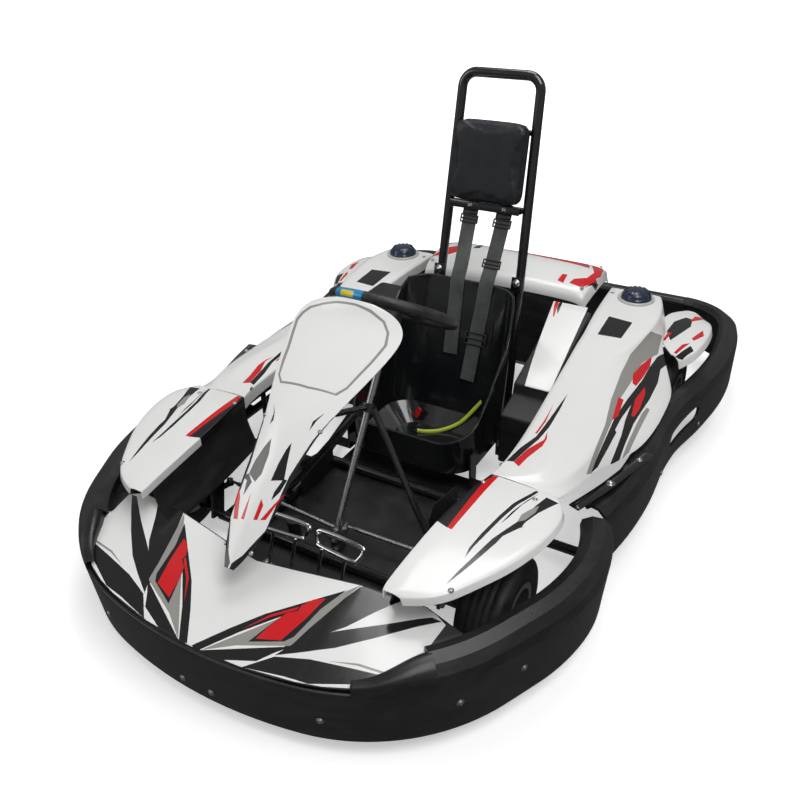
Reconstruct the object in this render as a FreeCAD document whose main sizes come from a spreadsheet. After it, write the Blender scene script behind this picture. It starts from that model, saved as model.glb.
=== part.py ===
# A rental racing kart: bent-tube frame, wrap-round bumper, moulded bodywork,
# bucket seat with a roll bar, steering linkage, front stub axles and a live rear axle.
# Millimetres. The front faces -Y, the driver's left is +X, and the ground is z = 0.
import FreeCAD, Part
import math
import os
import Sketcher

V = FreeCAD.Vector
X_AXIS = V(1, 0, 0)
Y_AXIS = V(0, 1, 0)
Z_AXIS = V(0, 0, 1)
ORIGIN = V(0, 0, 0)

os.makedirs("parts", exist_ok=True)
doc = FreeCAD.newDocument("racing_kart")

# Driving dimensions: alias, value, meaning
SIZES = [
    ("wheelbase", 1075, "front axle to rear axle"),
    ("front_overhang", 485, "front axle to the face of the bumper band"),
    ("rear_overhang", 540, "rear axle to the back of the rear bumper"),
    ("front_track", 960, "between the front tyre centres"),
    ("rear_track", 1060, "between the rear tyre centres"),
    ("fit_gap", 0.3, "clearance between pieces that seat on each other"),
    ("front_tyre_radius", 127, "front tyre, outside"),
    ("front_tyre_width", 115, "front tyre, wall to wall"),
    ("rear_tyre_radius", 140, "rear tyre, outside"),
    ("rear_tyre_width", 160, "rear tyre, wall to wall"),
    ("rim_radius", 64, "bead seat of all four rims"),
    ("rim_flange", 8, "height of the rim flange"),
    ("rim_wall", 6, "thickness of the rim barrel and disc"),
    ("hub_radius", 32, "wheel hub, outside"),
    ("hub_half_width", 24, "half the width of a wheel hub"),
    ("axle_radius", 20, "rear axle tube"),
    ("axle_wall", 5, "wall of the rear axle tube"),
    ("spindle_radius", 8.5, "front stub axle"),
    ("running_gap", 0.4, "clearance in bearings"),
    ("tube_radius", 15, "frame rails"),
    ("cross_radius", 13, "cross tubes, axle beam, side bars and tail bars"),
    ("frame_height", 65, "centre of the frame tubes above the ground"),
    ("tray_reach", 358, "centre line to the floor sheet's side edge"),
    ("rail_half_front", 230, "centre line to a rail at the front"),
    ("rail_half_rear", 310, "centre line to a rail at the rear"),
    ("rail_bend", 60, "bend radius of the frame rails"),
    ("porch_reach", 195, "front axle to the front cross tube"),
    ("tail_reach", 130, "rear axle to the rear cross tube"),
    ("side_bar_reach", 610, "centre line to the side bar"),
    ("hoop_radius", 10, "tube of the front hoops"),
    ("floor_thickness", 3, "floor sheet"),
    ("kingpin_half_span", 390, "centre line to a kingpin"),
    ("kingpin_radius", 5, "kingpin bolt"),
    ("kingpin_barrel", 15, "outside radius of the knuckle barrel"),
    ("barrel_half", 31, "half the height of the knuckle barrel"),
    ("yoke_plate", 8, "thickness of the yoke lugs"),
    ("caster_angle", 12, "backward lean of the kingpins, degrees"),
    ("steering_arm", 100, "kingpin to the tie rod on the knuckle"),
    ("arm_drop", 14, "steering arm below the wheel centre, along the kingpin"),
    ("arm_plate", 8, "thickness of the steering arms"),
    ("yoke_setback", 40, "kingpin to the back plate of its yoke"),
    ("pitman_reach", 45, "column axis to the tie rod bolt"),
    ("pitman_plate", 6, "thickness of the pitman plate"),
    ("pitman_bolt", 4, "radius of the tie rod bolt on the pitman plate"),
    ("tie_rod_radius", 6, "tie rod"),
    ("rod_eye", 9, "radius of the tie rod ends"),
    ("rod_eye_height", 10, "height of the tie rod ends"),
    ("column_angle", 57, "steering column above the horizontal, degrees"),
    ("column_radius", 9, "steering column tube"),
    ("hub_setback", 382, "front axle back to the steering wheel hub"),
    ("hub_height", 600, "height of the steering wheel hub"),
    ("column_length", 622, "steering hub down to the foot bearing"),
    ("pitman_station", 590, "steering hub down to the pitman plate"),
    ("bearing_station", 262, "steering hub down to the upper bearing"),
    ("wheel_radius", 157, "steering wheel, to the middle of the rim"),
    ("grip_radius", 13, "steering wheel rim section"),
    ("spoke_plate", 5, "steering wheel spoke plate"),
    ("band_wall", 10, "bumper band thickness"),
    ("band_foot", 45, "bottom edge of the front band"),
    ("band_top", 200, "top edge of the front band"),
    ("side_bumper_foot", 58, "bottom edge of the side bumper"),
    ("side_bumper_top", 248, "top of the side bumper lip"),
    ("lip_width", 78, "width of the front bumper arms"),
    ("side_lip_width", 66, "width of the side bumper lip"),
    ("band_lean", 12, "how far the foot of the front band leans in"),
    ("lip_wall", 8, "wall of the bumper lip"),
    ("panel_wall", 5, "wall of the body panels"),
    ("seat_wall", 6, "seat shell"),
    ("seat_half_width", 200, "half the outside width of the seat"),
    ("seat_foot", 60, "underside of the seat"),
    ("seat_top", 520, "top of the seat back"),
    ("hoop_tube", 14, "roll bar tube radius"),
    ("hoop_half_foot", 142, "half the spread of the roll bar at the frame"),
    ("hoop_half_top", 120, "half the spread of the roll bar at the top"),
    ("hoop_top", 1066, "top centre of the roll bar tube"),
    ("hoop_lean", 11.5, "backward lean of the roll bar, degrees"),
    ("hoop_setback", 260, "rear axle forward to the roll bar foot"),
    ("hoop_bend", 42, "corner bend of the roll bar"),
    ("cross_bar_height", 706, "harness cross bar above the ground"),
    ("pad_width", 232, "headrest pad"),
    ("pad_height", 232, "headrest pad"),
    ("pad_depth", 46, "headrest pad"),
    ("pad_rise", 10, "middle of the cross bar to the underside of the headrest pad"),
    ("strap_width", 46, "shoulder strap"),
    ("strap_wall", 3, "shoulder strap thickness"),
    ("cap_radius", 36, "tank cap"),
    ("cap_rise", 24, "dome of the tank cap"),
    ("sprocket_radius", 92, "axle sprocket over its teeth"),
    ("sprocket_teeth", 36, "teeth on the axle sprocket"),
    ("disc_radius", 95, "rear brake disc"),
    ("disc_wall", 8, "rear brake disc thickness"),
]

sheet = doc.addObject("Spreadsheet::Sheet", "dims")
sheet.Label = "driving dimensions"
for row, (alias, value, meaning) in enumerate(SIZES, start=1):
    sheet.set("A%d" % row, alias)
    sheet.set("B%d" % row, str(value))
    sheet.set("C%d" % row, meaning)
    sheet.setAlias("B%d" % row, alias)
doc.recompute()


class Dimensions:
    """The driving dimensions, read from the sheet."""


d = Dimensions()
for alias, _value, _meaning in SIZES:
    setattr(d, alias, float(sheet.get(alias)))

# Stations along the kart, from the driving dimensions
kart_length = d.front_overhang + d.wheelbase + d.rear_overhang
front_y = -kart_length / 2
rear_y = kart_length / 2
front_axle_y = front_y + d.front_overhang
rear_axle_y = front_axle_y + d.wheelbase
porch_y = front_axle_y - d.porch_reach
tail_y = rear_axle_y + d.tail_reach
tube_top = d.frame_height + d.tube_radius
cross_top = d.frame_height + d.cross_radius
front_cross_y = front_axle_y + 360
rail_waist_y = front_axle_y + 235
rail_wide_y = rear_axle_y - 450
side_bar_front_y = front_cross_y - 40
side_bar_rear_y = rear_axle_y - 185
hoop_foot_y = rear_axle_y - d.hoop_setback


# Placing in the frame of the steering column

column_lean = math.radians(d.column_angle)
column_up = V(0, math.cos(column_lean), math.sin(column_lean))
column_back = V(0, math.sin(column_lean), -math.cos(column_lean))
steering_hub = V(0, front_axle_y + d.hub_setback, d.hub_height)


def down_column(distance):
    """The point on the column's axis at a distance below the steering hub."""
    return steering_hub - column_up * distance


# Shape helpers

def fused(solids):
    """One solid of several that meet."""
    if len(solids) == 1:
        return solids[0]
    return solids[0].multiFuse(solids[1:]).removeSplitter()


def mirrored(shape):
    """The same shape on the kart's other side."""
    return shape.mirror(ORIGIN, X_AXIS)


def both_sides(shape):
    """A shape and its mirror image, joined where they meet."""
    return fused([shape, mirrored(shape)])


def pair(shape):
    """A shape and its mirror image that don't touch."""
    return Part.makeCompound([shape, mirrored(shape)])


def rod(start, end, radius):
    """A round bar from one point to another."""
    along = end - start
    return Part.makeCylinder(radius, along.Length, start, along)


def pipe(start, end, radius, bore):
    """A round bar with a bore right through."""
    overrun = (end - start).normalize() * 1
    return rod(start, end, radius).cut(rod(start - overrun, end + overrun, bore))


def bent_tube(points, radius, bend):
    """A round bar of straight runs whose corners are arcs of one bend radius."""
    solids = []
    start = V(points[0])
    for corner, after in zip(points[1:-1], points[2:]):
        into = (corner - start).normalize()
        out = (after - corner).normalize()
        turn = into.getAngle(out)
        back = bend * math.tan(turn / 2)
        begin = corner - into * back
        axis = into.cross(out).normalize()
        centre = begin + axis.cross(into) * bend
        disc = Part.Face(Part.Wire(Part.makeCircle(radius, begin, into)))
        solids.append(rod(start, begin, radius))
        solids.append(disc.revolve(centre, axis, math.degrees(turn)))
        start = corner + out * back
    solids.append(rod(start, points[-1], radius))
    return fused(solids)


def polygon(points):
    """A flat face inside straight edges."""
    return Part.Face(Part.makePolygon(list(points) + [points[0]]))


def box(x, y, z):
    """A block from pairs of limits along each axis."""
    return Part.makeBox(x[1] - x[0], y[1] - y[0], z[1] - z[0], V(x[0], y[0], z[0]))


def thick_line(points, thickness):
    """A closed outline: a line in a plane, and its copy set off on its right."""
    normals = []
    for (x1, z1), (x2, z2) in zip(points, points[1:]):
        length = math.hypot(x2 - x1, z2 - z1)
        normals.append(((z2 - z1) / length, -(x2 - x1) / length))
    copy = []
    for index, (x, z) in enumerate(points):
        before = normals[max(index - 1, 0)]
        after = normals[min(index, len(normals) - 1)]
        share = thickness / (1 + before[0] * after[0] + before[1] * after[1])
        copy.append((x + (before[0] + after[0]) * share, z + (before[1] + after[1]) * share))
    return list(points) + copy[::-1]


def panel(stations, thickness, ruled=True):
    """A moulded panel lofted along Y through thickened cross-sections."""
    wires = []
    for y, line in stations:
        outline = [V(x, y, z) for x, z in thick_line(line, thickness)]
        wires.append(Part.makePolygon(outline + [outline[0]]))
    return Part.makeLoft(wires, True, ruled)


def swept_flat(profile, start, heading, runs):
    """A profile carried along level arcs and straights.
    profile: (distance to the left of the path, height); runs: (length, turn to the left)."""
    solids = []
    place = V(start[0], start[1], 0)
    for length, turn in runs:
        angle = math.radians(heading)
        ahead = V(math.cos(angle), math.sin(angle), 0)
        left = V(-math.sin(angle), math.cos(angle), 0)
        face = polygon([place + left * offset + Z_AXIS * height for offset, height in profile])
        if turn:
            radius = length / math.radians(turn)
            centre = place + left * radius
            solids.append(face.revolve(centre, Z_AXIS, turn))
            place = centre - V(-math.sin(angle + math.radians(turn)),
                               math.cos(angle + math.radians(turn)), 0) * radius
        else:
            solids.append(face.extrude(ahead * length))
            place = place + ahead * length
        heading += turn
    return fused(solids)


def path_end(start, heading, runs):
    """Where a level path of arcs and straights ends."""
    place = V(start[0], start[1], 0)
    for length, turn in runs:
        angle = math.radians(heading)
        half = math.radians(turn) / 2
        chord = length * (math.sin(half) / half if turn else 1)
        place = place + V(math.cos(angle + half), math.sin(angle + half), 0) * chord
        heading += turn
    return place


def add_shape(name, shape):
    """A sub-part whose shape is worked out here."""
    part = doc.addObject("Part::Feature", name)
    part.Label = name
    part.Shape = shape
    return part


# Sketches whose every corner is bound to the driving dimensions

def origin_plane(body, role):
    """One of the body's own base planes."""
    return [f for f in body.Origin.OriginFeatures if f.Role == role][0]


def bound_sketch(body, name, role, corners):
    """A closed outline of straight edges, each corner given by two expressions."""
    sketch = body.newObject("Sketcher::SketchObject", name)
    sketch.AttachmentSupport = (origin_plane(body, role), [""])
    sketch.MapMode = "FlatFace"
    places = [[float(sheet.evalExpression(text)) for text in corner] for corner in corners]
    count = len(corners)
    for index in range(count):
        first, second = places[index], places[(index + 1) % count]
        sketch.addGeometry(Part.LineSegment(V(*first, 0), V(*second, 0)), False)
    for index in range(count):
        sketch.addConstraint(Sketcher.Constraint("Coincident", index, 2, (index + 1) % count, 1))
    for index, corner in enumerate(corners):
        for kind, text, value in zip(("DistanceX", "DistanceY"), corner, places[index]):
            number = sketch.addConstraint(Sketcher.Constraint(kind, -1, 1, index, 1, value))
            sketch.setExpression("Constraints[%d]" % number, text)
    return sketch


def turned_body(name, corners):
    """A body turned about X from an outline of (along the axle, radius)."""
    body = doc.addObject("PartDesign::Body", name)
    body.Label = name
    sketch = bound_sketch(body, name + "_outline", "XY_Plane", corners)
    turn = body.newObject("PartDesign::Revolution", name + "_turn")
    turn.Profile = sketch
    turn.ReferenceAxis = (sketch, ["H_Axis"])
    turn.Angle = 360
    return body


def symmetric(half):
    """The outline's corners and their mirror images across the wheel's middle plane."""
    return half + [("-(%s)" % across, up) for across, up in reversed(half)]


def tyre_outline(side):
    """Half of a tyre's section; side is front or rear."""
    width = "dims.%s_tyre_width / 2" % side
    radius = "dims.%s_tyre_radius" % side
    bead = width + " - 9 - dims.fit_gap"
    return symmetric([
        (bead, "dims.rim_radius + dims.fit_gap"),
        (bead, "dims.rim_radius + dims.rim_flange + 1"),
        (width, "dims.rim_radius + dims.rim_flange + 12"),
        (width, radius + " - 24"),
        (width + " - 8", radius + " - 8"),
        (width + " - 24", radius + " - 1.5"),
        (width + " - 42", radius),
    ])


def rim_outline(side, bore):
    """Half of a rim's section, from the hub's bore out to the flange."""
    width = "dims.%s_tyre_width / 2 - 4" % side
    return symmetric([
        ("dims.hub_half_width", bore),
        ("dims.hub_half_width", "dims.hub_radius"),
        ("dims.rim_wall / 2", "dims.hub_radius"),
        ("dims.rim_wall / 2", "dims.rim_radius - dims.rim_wall"),
        (width, "dims.rim_radius - dims.rim_wall"),
        (width, "dims.rim_radius + dims.rim_flange"),
        (width + " - 5", "dims.rim_radius + dims.rim_flange"),
        (width + " - 5", "dims.rim_radius"),
    ])


def placed(obj, x, y, z):
    """Puts an object where three expressions say."""
    for axis, text in zip("xyz", (x, y, z)):
        obj.setExpression("Placement.Base." + axis, text)
    return obj


def cylinder(name, radius, height):
    """A cylinder sized by two expressions."""
    made = doc.addObject("Part::Cylinder", name)
    made.setExpression("Radius", radius)
    made.setExpression("Height", height)
    return made


FRONT_AXLE = "(dims.front_overhang - dims.wheelbase - dims.rear_overhang) / 2"
REAR_AXLE = "(dims.front_overhang + dims.wheelbase - dims.rear_overhang) / 2"


# Frame

def rail_x(y):
    """How far out a rail's centre line is at a station."""
    if y >= rail_wide_y:
        return d.rail_half_rear
    share = max(0, (y - rail_waist_y) / (rail_wide_y - rail_waist_y))
    return d.rail_half_front + share * (d.rail_half_rear - d.rail_half_front)


def at_kingpin(shape):
    """A shape modelled with its kingpin upright at the origin, set in its place on the left."""
    shape = shape.copy()
    shape.rotate(ORIGIN, X_AXIS, -d.caster_angle)
    shape.translate(V(d.kingpin_half_span, front_axle_y, d.front_tyre_radius))
    return shape


def yoke():
    """The left kingpin yoke: two lugs, a back plate and the kingpin bolt."""
    inner = -d.yoke_setback
    lug_z = d.barrel_half + d.fit_gap
    pieces = [box((inner - 8, inner), (-22, 22), (-lug_z - d.yoke_plate - 18, lug_z + d.yoke_plate))]
    for low in (-lug_z - d.yoke_plate, lug_z):
        lug = Part.makeCylinder(18, d.yoke_plate, V(0, 0, low))
        pieces.append(fused([lug, box((inner - 4, 0), (-18, 18), (low, low + d.yoke_plate))]))
    reach = lug_z + d.yoke_plate + 6
    pieces.append(Part.makeCylinder(d.kingpin_radius, 2 * reach, V(0, 0, -reach)))
    return at_kingpin(fused(pieces))


def bearing_carrier():
    """The left plate that carries the rear axle on its rail."""
    wheel_z = d.rear_tyre_radius
    outer = d.axle_radius + 16
    x = d.rail_half_rear
    ring = Part.makeCylinder(outer, 24, V(x - 12, rear_axle_y, wheel_z), X_AXIS)
    web = polygon([V(x - 6, rear_axle_y - 52, d.frame_height), V(x - 6, rear_axle_y + 52, d.frame_height),
                   V(x - 6, rear_axle_y + outer - 4, wheel_z), V(x - 6, rear_axle_y - outer + 4, wheel_z)])
    carrier = fused([ring, web.extrude(V(12, 0, 0))])
    bore = d.axle_radius + d.running_gap
    return carrier.cut(Part.makeCylinder(bore, 40, V(x - 20, rear_axle_y, wheel_z), X_AXIS))


# Bumper paths: (length, turn to the left), from the nose round the kart's left side

wheel_reach = (d.rear_track + d.rear_tyre_width) / 2
CORNER_REACH = 354.8
BAND_RUNS = [(wheel_reach - CORNER_REACH, 12.8), (280, 32.0), (173.2, 19.8), (87.1, 0),
             (175.8, 17.9), (216.5, 31.5)]
SIDE_HEADING = 77.1
SIDE_FRONT_RUNS = [(190, 8.3), (182, 8.0)]
SIDE_REAR_RUNS = [(284.5, -17.2), (169.5, 7.3), (317.8, 17.1), (298.7, 79.4)]
SIDE_OVERLAP = V(-14, 6, 0)

band_start = (0, front_y)
band_end = path_end(band_start, 0, BAND_RUNS)
side_start = band_end + SIDE_OVERLAP
side_stretch = rear_y - path_end(side_start, SIDE_HEADING, SIDE_FRONT_RUNS + SIDE_REAR_RUNS).y
side_runs = SIDE_FRONT_RUNS + [(side_stretch, 0)] + SIDE_REAR_RUNS
SIDE_PROFILE = thick_line([(14, d.side_bumper_foot), (0, d.side_bumper_foot + 32),
                           (0, d.side_bumper_top - 42), (8, d.side_bumper_top - 16),
                           (28, d.side_bumper_top), (d.side_lip_width - 14, d.side_bumper_top),
                           (d.side_lip_width, d.side_bumper_top - 14)], d.lip_wall)


SLOT_HEIGHT = 165
SLOT_RADIUS = 24


def side_bumper():
    """The left bumper beside the wheels, slotted ahead of the rear wheel, with its bosses."""
    pieces = [swept_flat(SIDE_PROFILE, side_start, SIDE_HEADING, side_runs)]
    for count in (1, 3):
        place = path_end(side_start, SIDE_HEADING, side_runs[:count])
        pieces.append(box((d.side_bar_reach + d.cross_radius + d.fit_gap, place.x - 14),
                          (place.y - 16, place.y + 16), (d.frame_height - 5, d.frame_height + 6)))
    ends = [V(d.side_bar_reach + 20, y, SLOT_HEIGHT) for y in (rear_axle_y - 285, rear_axle_y - 125)]
    slot = [rod(end, end + X_AXIS * 150, SLOT_RADIUS) for end in ends]
    slot.append(box((ends[0].x, ends[0].x + 150), (ends[0].y, ends[1].y),
                    (SLOT_HEIGHT - SLOT_RADIUS, SLOT_HEIGHT + SLOT_RADIUS)))
    return fused(pieces).cut(fused(slot))


def rear_bumper():
    """The straight bumper across the tail, between the ends of the side bumpers."""
    half = path_end(side_start, SIDE_HEADING, side_runs).x - d.fit_gap
    return swept_flat(SIDE_PROFILE, (half, rear_y), 180, [(2 * half, 0)])


def front_band():
    """The upright strip round the nose."""
    profile = [(d.band_lean, d.band_foot), (d.band_lean + d.band_wall, d.band_foot),
               (d.band_wall, d.band_top), (0, d.band_top)]
    return both_sides(swept_flat(profile, band_start, 0, BAND_RUNS))


# Nose

NOSE_RISE = 0.2
# distance from the middle, reach ahead of the front axle at the rear edge, drop below the crown
NOSE_RIBS = [(0, 240, 0), (100, 225, 0), (250, 200, 0), (400, 180, 14), (520, 195, 40), (wheel_reach + 30, 205, 60)]
UPPER_HOOP_REACH = 365


def nose_height(y):
    """The top of the nose on its flat middle."""
    return d.band_top - 5 + NOSE_RISE * (y - front_y)


def band_region(inset, low, high):
    """The left half of the space inside the front band."""
    edges = []
    place = V(0, front_y + inset, low)
    heading = 0
    for length, turn in BAND_RUNS:
        length -= inset * math.radians(turn)
        end = path_end(place, heading, [(length, turn)]) + Z_AXIS * low
        if turn:
            middle = path_end(place, heading, [(length / 2, turn / 2)]) + Z_AXIS * low
            edges.append(Part.Arc(place, middle, end).toShape())
        else:
            edges.append(Part.LineSegment(place, end).toShape())
        place = end
        heading += turn
    corner = V(0, place.y, low)
    edges.append(Part.LineSegment(place, corner).toShape())
    edges.append(Part.LineSegment(corner, V(0, front_y + inset, low)).toShape())
    return Part.Face(Part.Wire(edges)).extrude(V(0, 0, high - low))


def nose_bumper():
    """The nose moulding: a sloping top, a skirt inside the band and two side arms."""
    inset = d.band_wall + d.fit_gap
    far_front = front_y - 50
    wires = []
    for x, reach, drop in NOSE_RIBS:
        rear = front_axle_y - reach
        corners = [V(x, far_front, nose_height(far_front)), V(x, rear, nose_height(rear) - drop)]
        outline = corners + [p - Z_AXIS * d.panel_wall for p in reversed(corners)]
        wires.append(Part.makePolygon(outline + [outline[0]]))
    top = Part.makeLoft(wires, True, True).common(band_region(inset + 1, 100, 300))
    low, high = d.band_top - 50, d.band_top - 4
    lean = d.band_lean / (d.band_top - d.band_foot)
    low_inset = inset + lean * (d.band_top - low)
    high_inset = inset + lean * (d.band_top - high)
    skirt = swept_flat([(low_inset, low), (low_inset + 6, low), (high_inset + 6, high), (high_inset, high)],
                       band_start, 0, BAND_RUNS)
    lip = thick_line([(0, d.band_top + 1 + d.fit_gap), (4, d.band_top + 24), (22, d.band_top + 42),
                      (50, d.band_top + 48), (d.lip_width - 4, d.band_top + 38),
                      (d.lip_width, d.band_top + 20)], 6)
    arm_start = path_end(band_start, 0, BAND_RUNS[:2])
    arm_heading = sum(turn for _length, turn in BAND_RUNS[:2])
    arm = swept_flat(lip, arm_start, arm_heading, BAND_RUNS[2:])
    web = swept_flat([(high_inset, high), (inset + 7, high), (inset + 6, d.band_top + 34), (inset, d.band_top + 26)],
                     arm_start, arm_heading, BAND_RUNS[2:])
    return both_sides(fused([top, skirt, arm, web]))


# Frame

SIDE_BAR_BEND = 55
TAIL_BAR_HALF = 205
LOWER_HOOP_REACH = 400
FRONT_HOOP_HALF = 190
seat_tab_places = (hoop_foot_y - 370, hoop_foot_y - 190)


def rail(radius):
    """The left rail, with the left half of the tube across its front."""
    z = d.frame_height
    return bent_tube([V(d.fit_gap / 2, porch_y, z), V(d.rail_half_front, porch_y, z),
                      V(d.rail_half_front, rail_waist_y, z), V(d.rail_half_rear, rail_wide_y, z),
                      V(d.rail_half_rear, tail_y, z)], radius, d.rail_bend)


def main_rail():
    """The left rail with the plate that carries the rear axle."""
    return fused([rail(d.tube_radius), bearing_carrier()])


def front_yoke():
    """The left end of the axle beam, outside its rail, with the yoke."""
    z = d.frame_height
    beam_end = d.kingpin_half_span - d.yoke_setback - 4
    stub = rod(V(d.rail_half_front, front_axle_y, z), V(beam_end, front_axle_y, z), d.cross_radius)
    return fused([stub.cut(rail(d.tube_radius + d.fit_gap)), yoke()])


def seat_tabs():
    """The four angle brackets that carry the seat on the rails."""
    z = d.frame_height
    side = d.seat_half_width + d.fit_gap
    tabs = []
    for y in seat_tab_places:
        tabs.append(fused([box((side, rail_x(y)), (y - 18, y + 18), (z + 4, z + 10)),
                           box((side, side + 6), (y - 18, y + 18), (z + 4, z + 110))]))
    return pair(Part.makeCompound(tabs).cut(rail(d.tube_radius + d.fit_gap)))


def cross_tubes():
    """The tubes between the rails, the posts of the rear cover and the column's foot bearing."""
    z = d.frame_height
    left = []
    for y in (front_axle_y, front_cross_y, hoop_foot_y, tail_y):
        left.append(rod(V(0, y, z), V(rail_x(y) - d.tube_radius - d.fit_gap, y, z), d.cross_radius))
    left.append(rod(V(COVER_POST_X, tail_y, z),
                    V(COVER_POST_X, tail_y, COVER_CROWN - d.panel_wall - 2), 8))
    foot_top = down_column(d.column_length).z - d.column_radius * math.cos(column_lean) - d.running_gap
    foot = box((-22, 22), (front_axle_y, front_axle_y + 64), (z - 10, foot_top))
    left = [piece.cut(rail(d.tube_radius + d.fit_gap)) for piece in left]
    return fused(left + [mirrored(piece) for piece in left] + [foot])


def side_bar():
    """The left bar outside the rail, with the posts that carry the pod."""
    z = d.frame_height
    bar = bent_tube([V(rail_x(side_bar_front_y), side_bar_front_y, z),
                     V(d.side_bar_reach, side_bar_front_y, z), V(d.side_bar_reach, side_bar_rear_y, z),
                     V(d.rail_half_rear, side_bar_rear_y, z)], d.cross_radius, SIDE_BAR_BEND)
    posts = [rod(V(POD_POST_X, y, z), V(POD_POST_X, y, top - d.panel_wall - 1), 8)
             for y, top in ((side_bar_front_y, POD_FRONT_POST_TOP), (side_bar_rear_y, POD_REAR_POST_TOP))]
    return fused([bar] + posts).cut(rail(d.tube_radius + d.fit_gap))


def tail_bars():
    """The two bars from the rear cross tube to the rear bumper."""
    z = d.frame_height
    high = z + 85
    bar = bent_tube([V(TAIL_BAR_HALF, tail_y, z), V(TAIL_BAR_HALF, rear_y - 190, z),
                     V(TAIL_BAR_HALF, rear_y - 140, high),
                     V(TAIL_BAR_HALF, rear_y - d.lip_wall - d.fit_gap, high)], d.cross_radius, 40)
    socket = rod(V(0, tail_y, z), V(d.rail_half_rear, tail_y, z), d.cross_radius + d.fit_gap)
    return pair(bar.cut(socket))


def front_hoops():
    """The low and the high hoop ahead of the frame, under the nose."""
    z = d.frame_height
    low_y = front_axle_y - LOWER_HOOP_REACH
    lower_hoop = bent_tube([V(FRONT_HOOP_HALF, porch_y, z), V(FRONT_HOOP_HALF, low_y, z),
                            V(0, low_y, z)], d.hoop_radius, 60)
    hoop_y = front_axle_y - UPPER_HOOP_REACH
    slope = math.cos(math.atan(NOSE_RISE))
    hoop_z = nose_height(hoop_y) - (d.panel_wall + d.fit_gap + d.hoop_radius) / slope
    upper_hoop = bent_tube([V(FRONT_HOOP_HALF, porch_y, z), V(FRONT_HOOP_HALF, porch_y, hoop_z - 20),
                            V(FRONT_HOOP_HALF, hoop_y, hoop_z), V(0, hoop_y, hoop_z)], d.hoop_radius, 45)
    left = fused([lower_hoop, upper_hoop])
    hoops = fused([left, mirrored(left)])
    return hoops.cut(both_sides(rail(d.tube_radius + d.fit_gap)))


# Side bodywork: station, inner edge, crease and outer edge of the left pod

POD_POST_X = 425
POD_FRONT_POST_TOP = 345
POD_REAR_POST_TOP = 388
COVER_POST_X = 250
COVER_CROWN = 456
SHELF_TOP = 402
SHELF_EDGE = 338
pod_front_y = front_axle_y + 185
POD_SKIRT = 38
pod_span = side_bar_rear_y - side_bar_front_y


def along_pod(share):
    """A station between the two posts that carry the pod."""
    return side_bar_front_y + share * pod_span


pod_stations = [
    # station, inner edge x and z, first crease x and z, second crease x and z, outer edge x and z
    (pod_front_y, 372, 336, 400, 338, 480, 334, 536, 322),
    (along_pod(-0.18), 380, 339, 474, 341, 520, 330, 545, 312),
    (side_bar_front_y, 383, POD_FRONT_POST_TOP, 496, POD_FRONT_POST_TOP, 548, 328, 561, 297),
    (along_pod(0.24), 374, 350, 474, 352, 552, 326, 590, 268),
    (along_pod(0.39), 368, 357, 452, 360, 536, 338, 626, 264),
    (along_pod(0.57), 362, 366, 443, 369, 516, 348, 638, 262),
    (along_pod(0.75), 356, 377, 454, 379, 507, 358, 638, 262),
    (along_pod(0.92), 350, 386, 492, 386, 510, 366, 634, 264),
    (side_bar_rear_y, 348, POD_REAR_POST_TOP, 504, POD_REAR_POST_TOP, 516, 369, 622, 270),
    (rear_axle_y - 135, 343, 394, 512, 391, 524, 371, 588, 306),
    (rear_axle_y - 70, 338, 399, 520, 393, 530, 372, 550, 346),
    (rear_axle_y + 10, 333, SHELF_TOP, 522, SHELF_TOP, 533, 368, 544, SHELF_EDGE),
    (rear_axle_y + 90, 329, SHELF_TOP, 505, SHELF_TOP, 514, 374, 522, SHELF_EDGE + 6),
    (tail_y, 327, SHELF_TOP, 488, SHELF_TOP, 494, 382, 500, SHELF_EDGE + 16),
]


def side_pod():
    """The left pod: an inner skirt, a flat top, a shoulder and a falling outer flank."""
    stations = []
    for y, *places in pod_stations:
        line = list(zip(places[::2], places[1::2]))
        stations.append((y, [(line[0][0], line[0][1] - POD_SKIRT)] + line))
    return panel(stations, d.panel_wall)


def front_fender():
    """The left leaf-shaped panel over the front wheel, behind which the pod begins."""
    rows = [
        # station, inner x, seam x, outer x, height
        (front_axle_y - 245, 334, 356, 374, 318),
        (front_axle_y - 232, 331, 374, 408, 321),
        (front_axle_y - 205, 332, 375, 450, 325),
        (front_axle_y - 154, 334, 376, 484, 330),
        (front_axle_y - 100, 337, 377, 518, 334),
        (front_axle_y - 58, 339, 378, 540, 337),
        (front_axle_y + 28, 346, 383, 570, 340),
        (front_axle_y + 106, 358, 388, 578, 341),
        (front_axle_y + 148, 366, 392, 566, 339),
        (pod_front_y - d.fit_gap, 372, 396, 538, 336),
    ]
    stations = []
    for y, inner_x, seam_x, outer_x, height in rows:
        stations.append((y, [(inner_x, height - 24), (inner_x, height - 1), (seam_x, height),
                             (outer_x, height - 6), (outer_x + 6, height - 24)]))
    return panel(stations, d.panel_wall)


def rear_fender():
    """The left cover over the rear tyre, tucked under the edge of the pod."""
    top = SHELF_EDGE + 1.8 - d.fit_gap
    rows = [
        # station, inner x, middle x, outer x, drop of the outer edge
        (rear_axle_y - 92, 588, 598, 612, 30),
        (rear_axle_y - 60, 560, 600, 642, 16),
        (rear_axle_y + 20, 512, 595, 658, 12),
        (rear_axle_y + 110, 506, 592, 659, 12),
        (rear_axle_y + 180, 512, 590, 650, 16),
        (rear_axle_y + 232, 560, 588, 614, 34),
    ]
    stations = []
    for y, inner_x, middle_x, outer_x, drop in rows:
        stations.append((y, [(inner_x, top - drop / 3), (middle_x, top - drop / 3), (outer_x, top - drop),
                             (outer_x + 6, top - drop - 24)]))
    return panel(stations, d.panel_wall)


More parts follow.
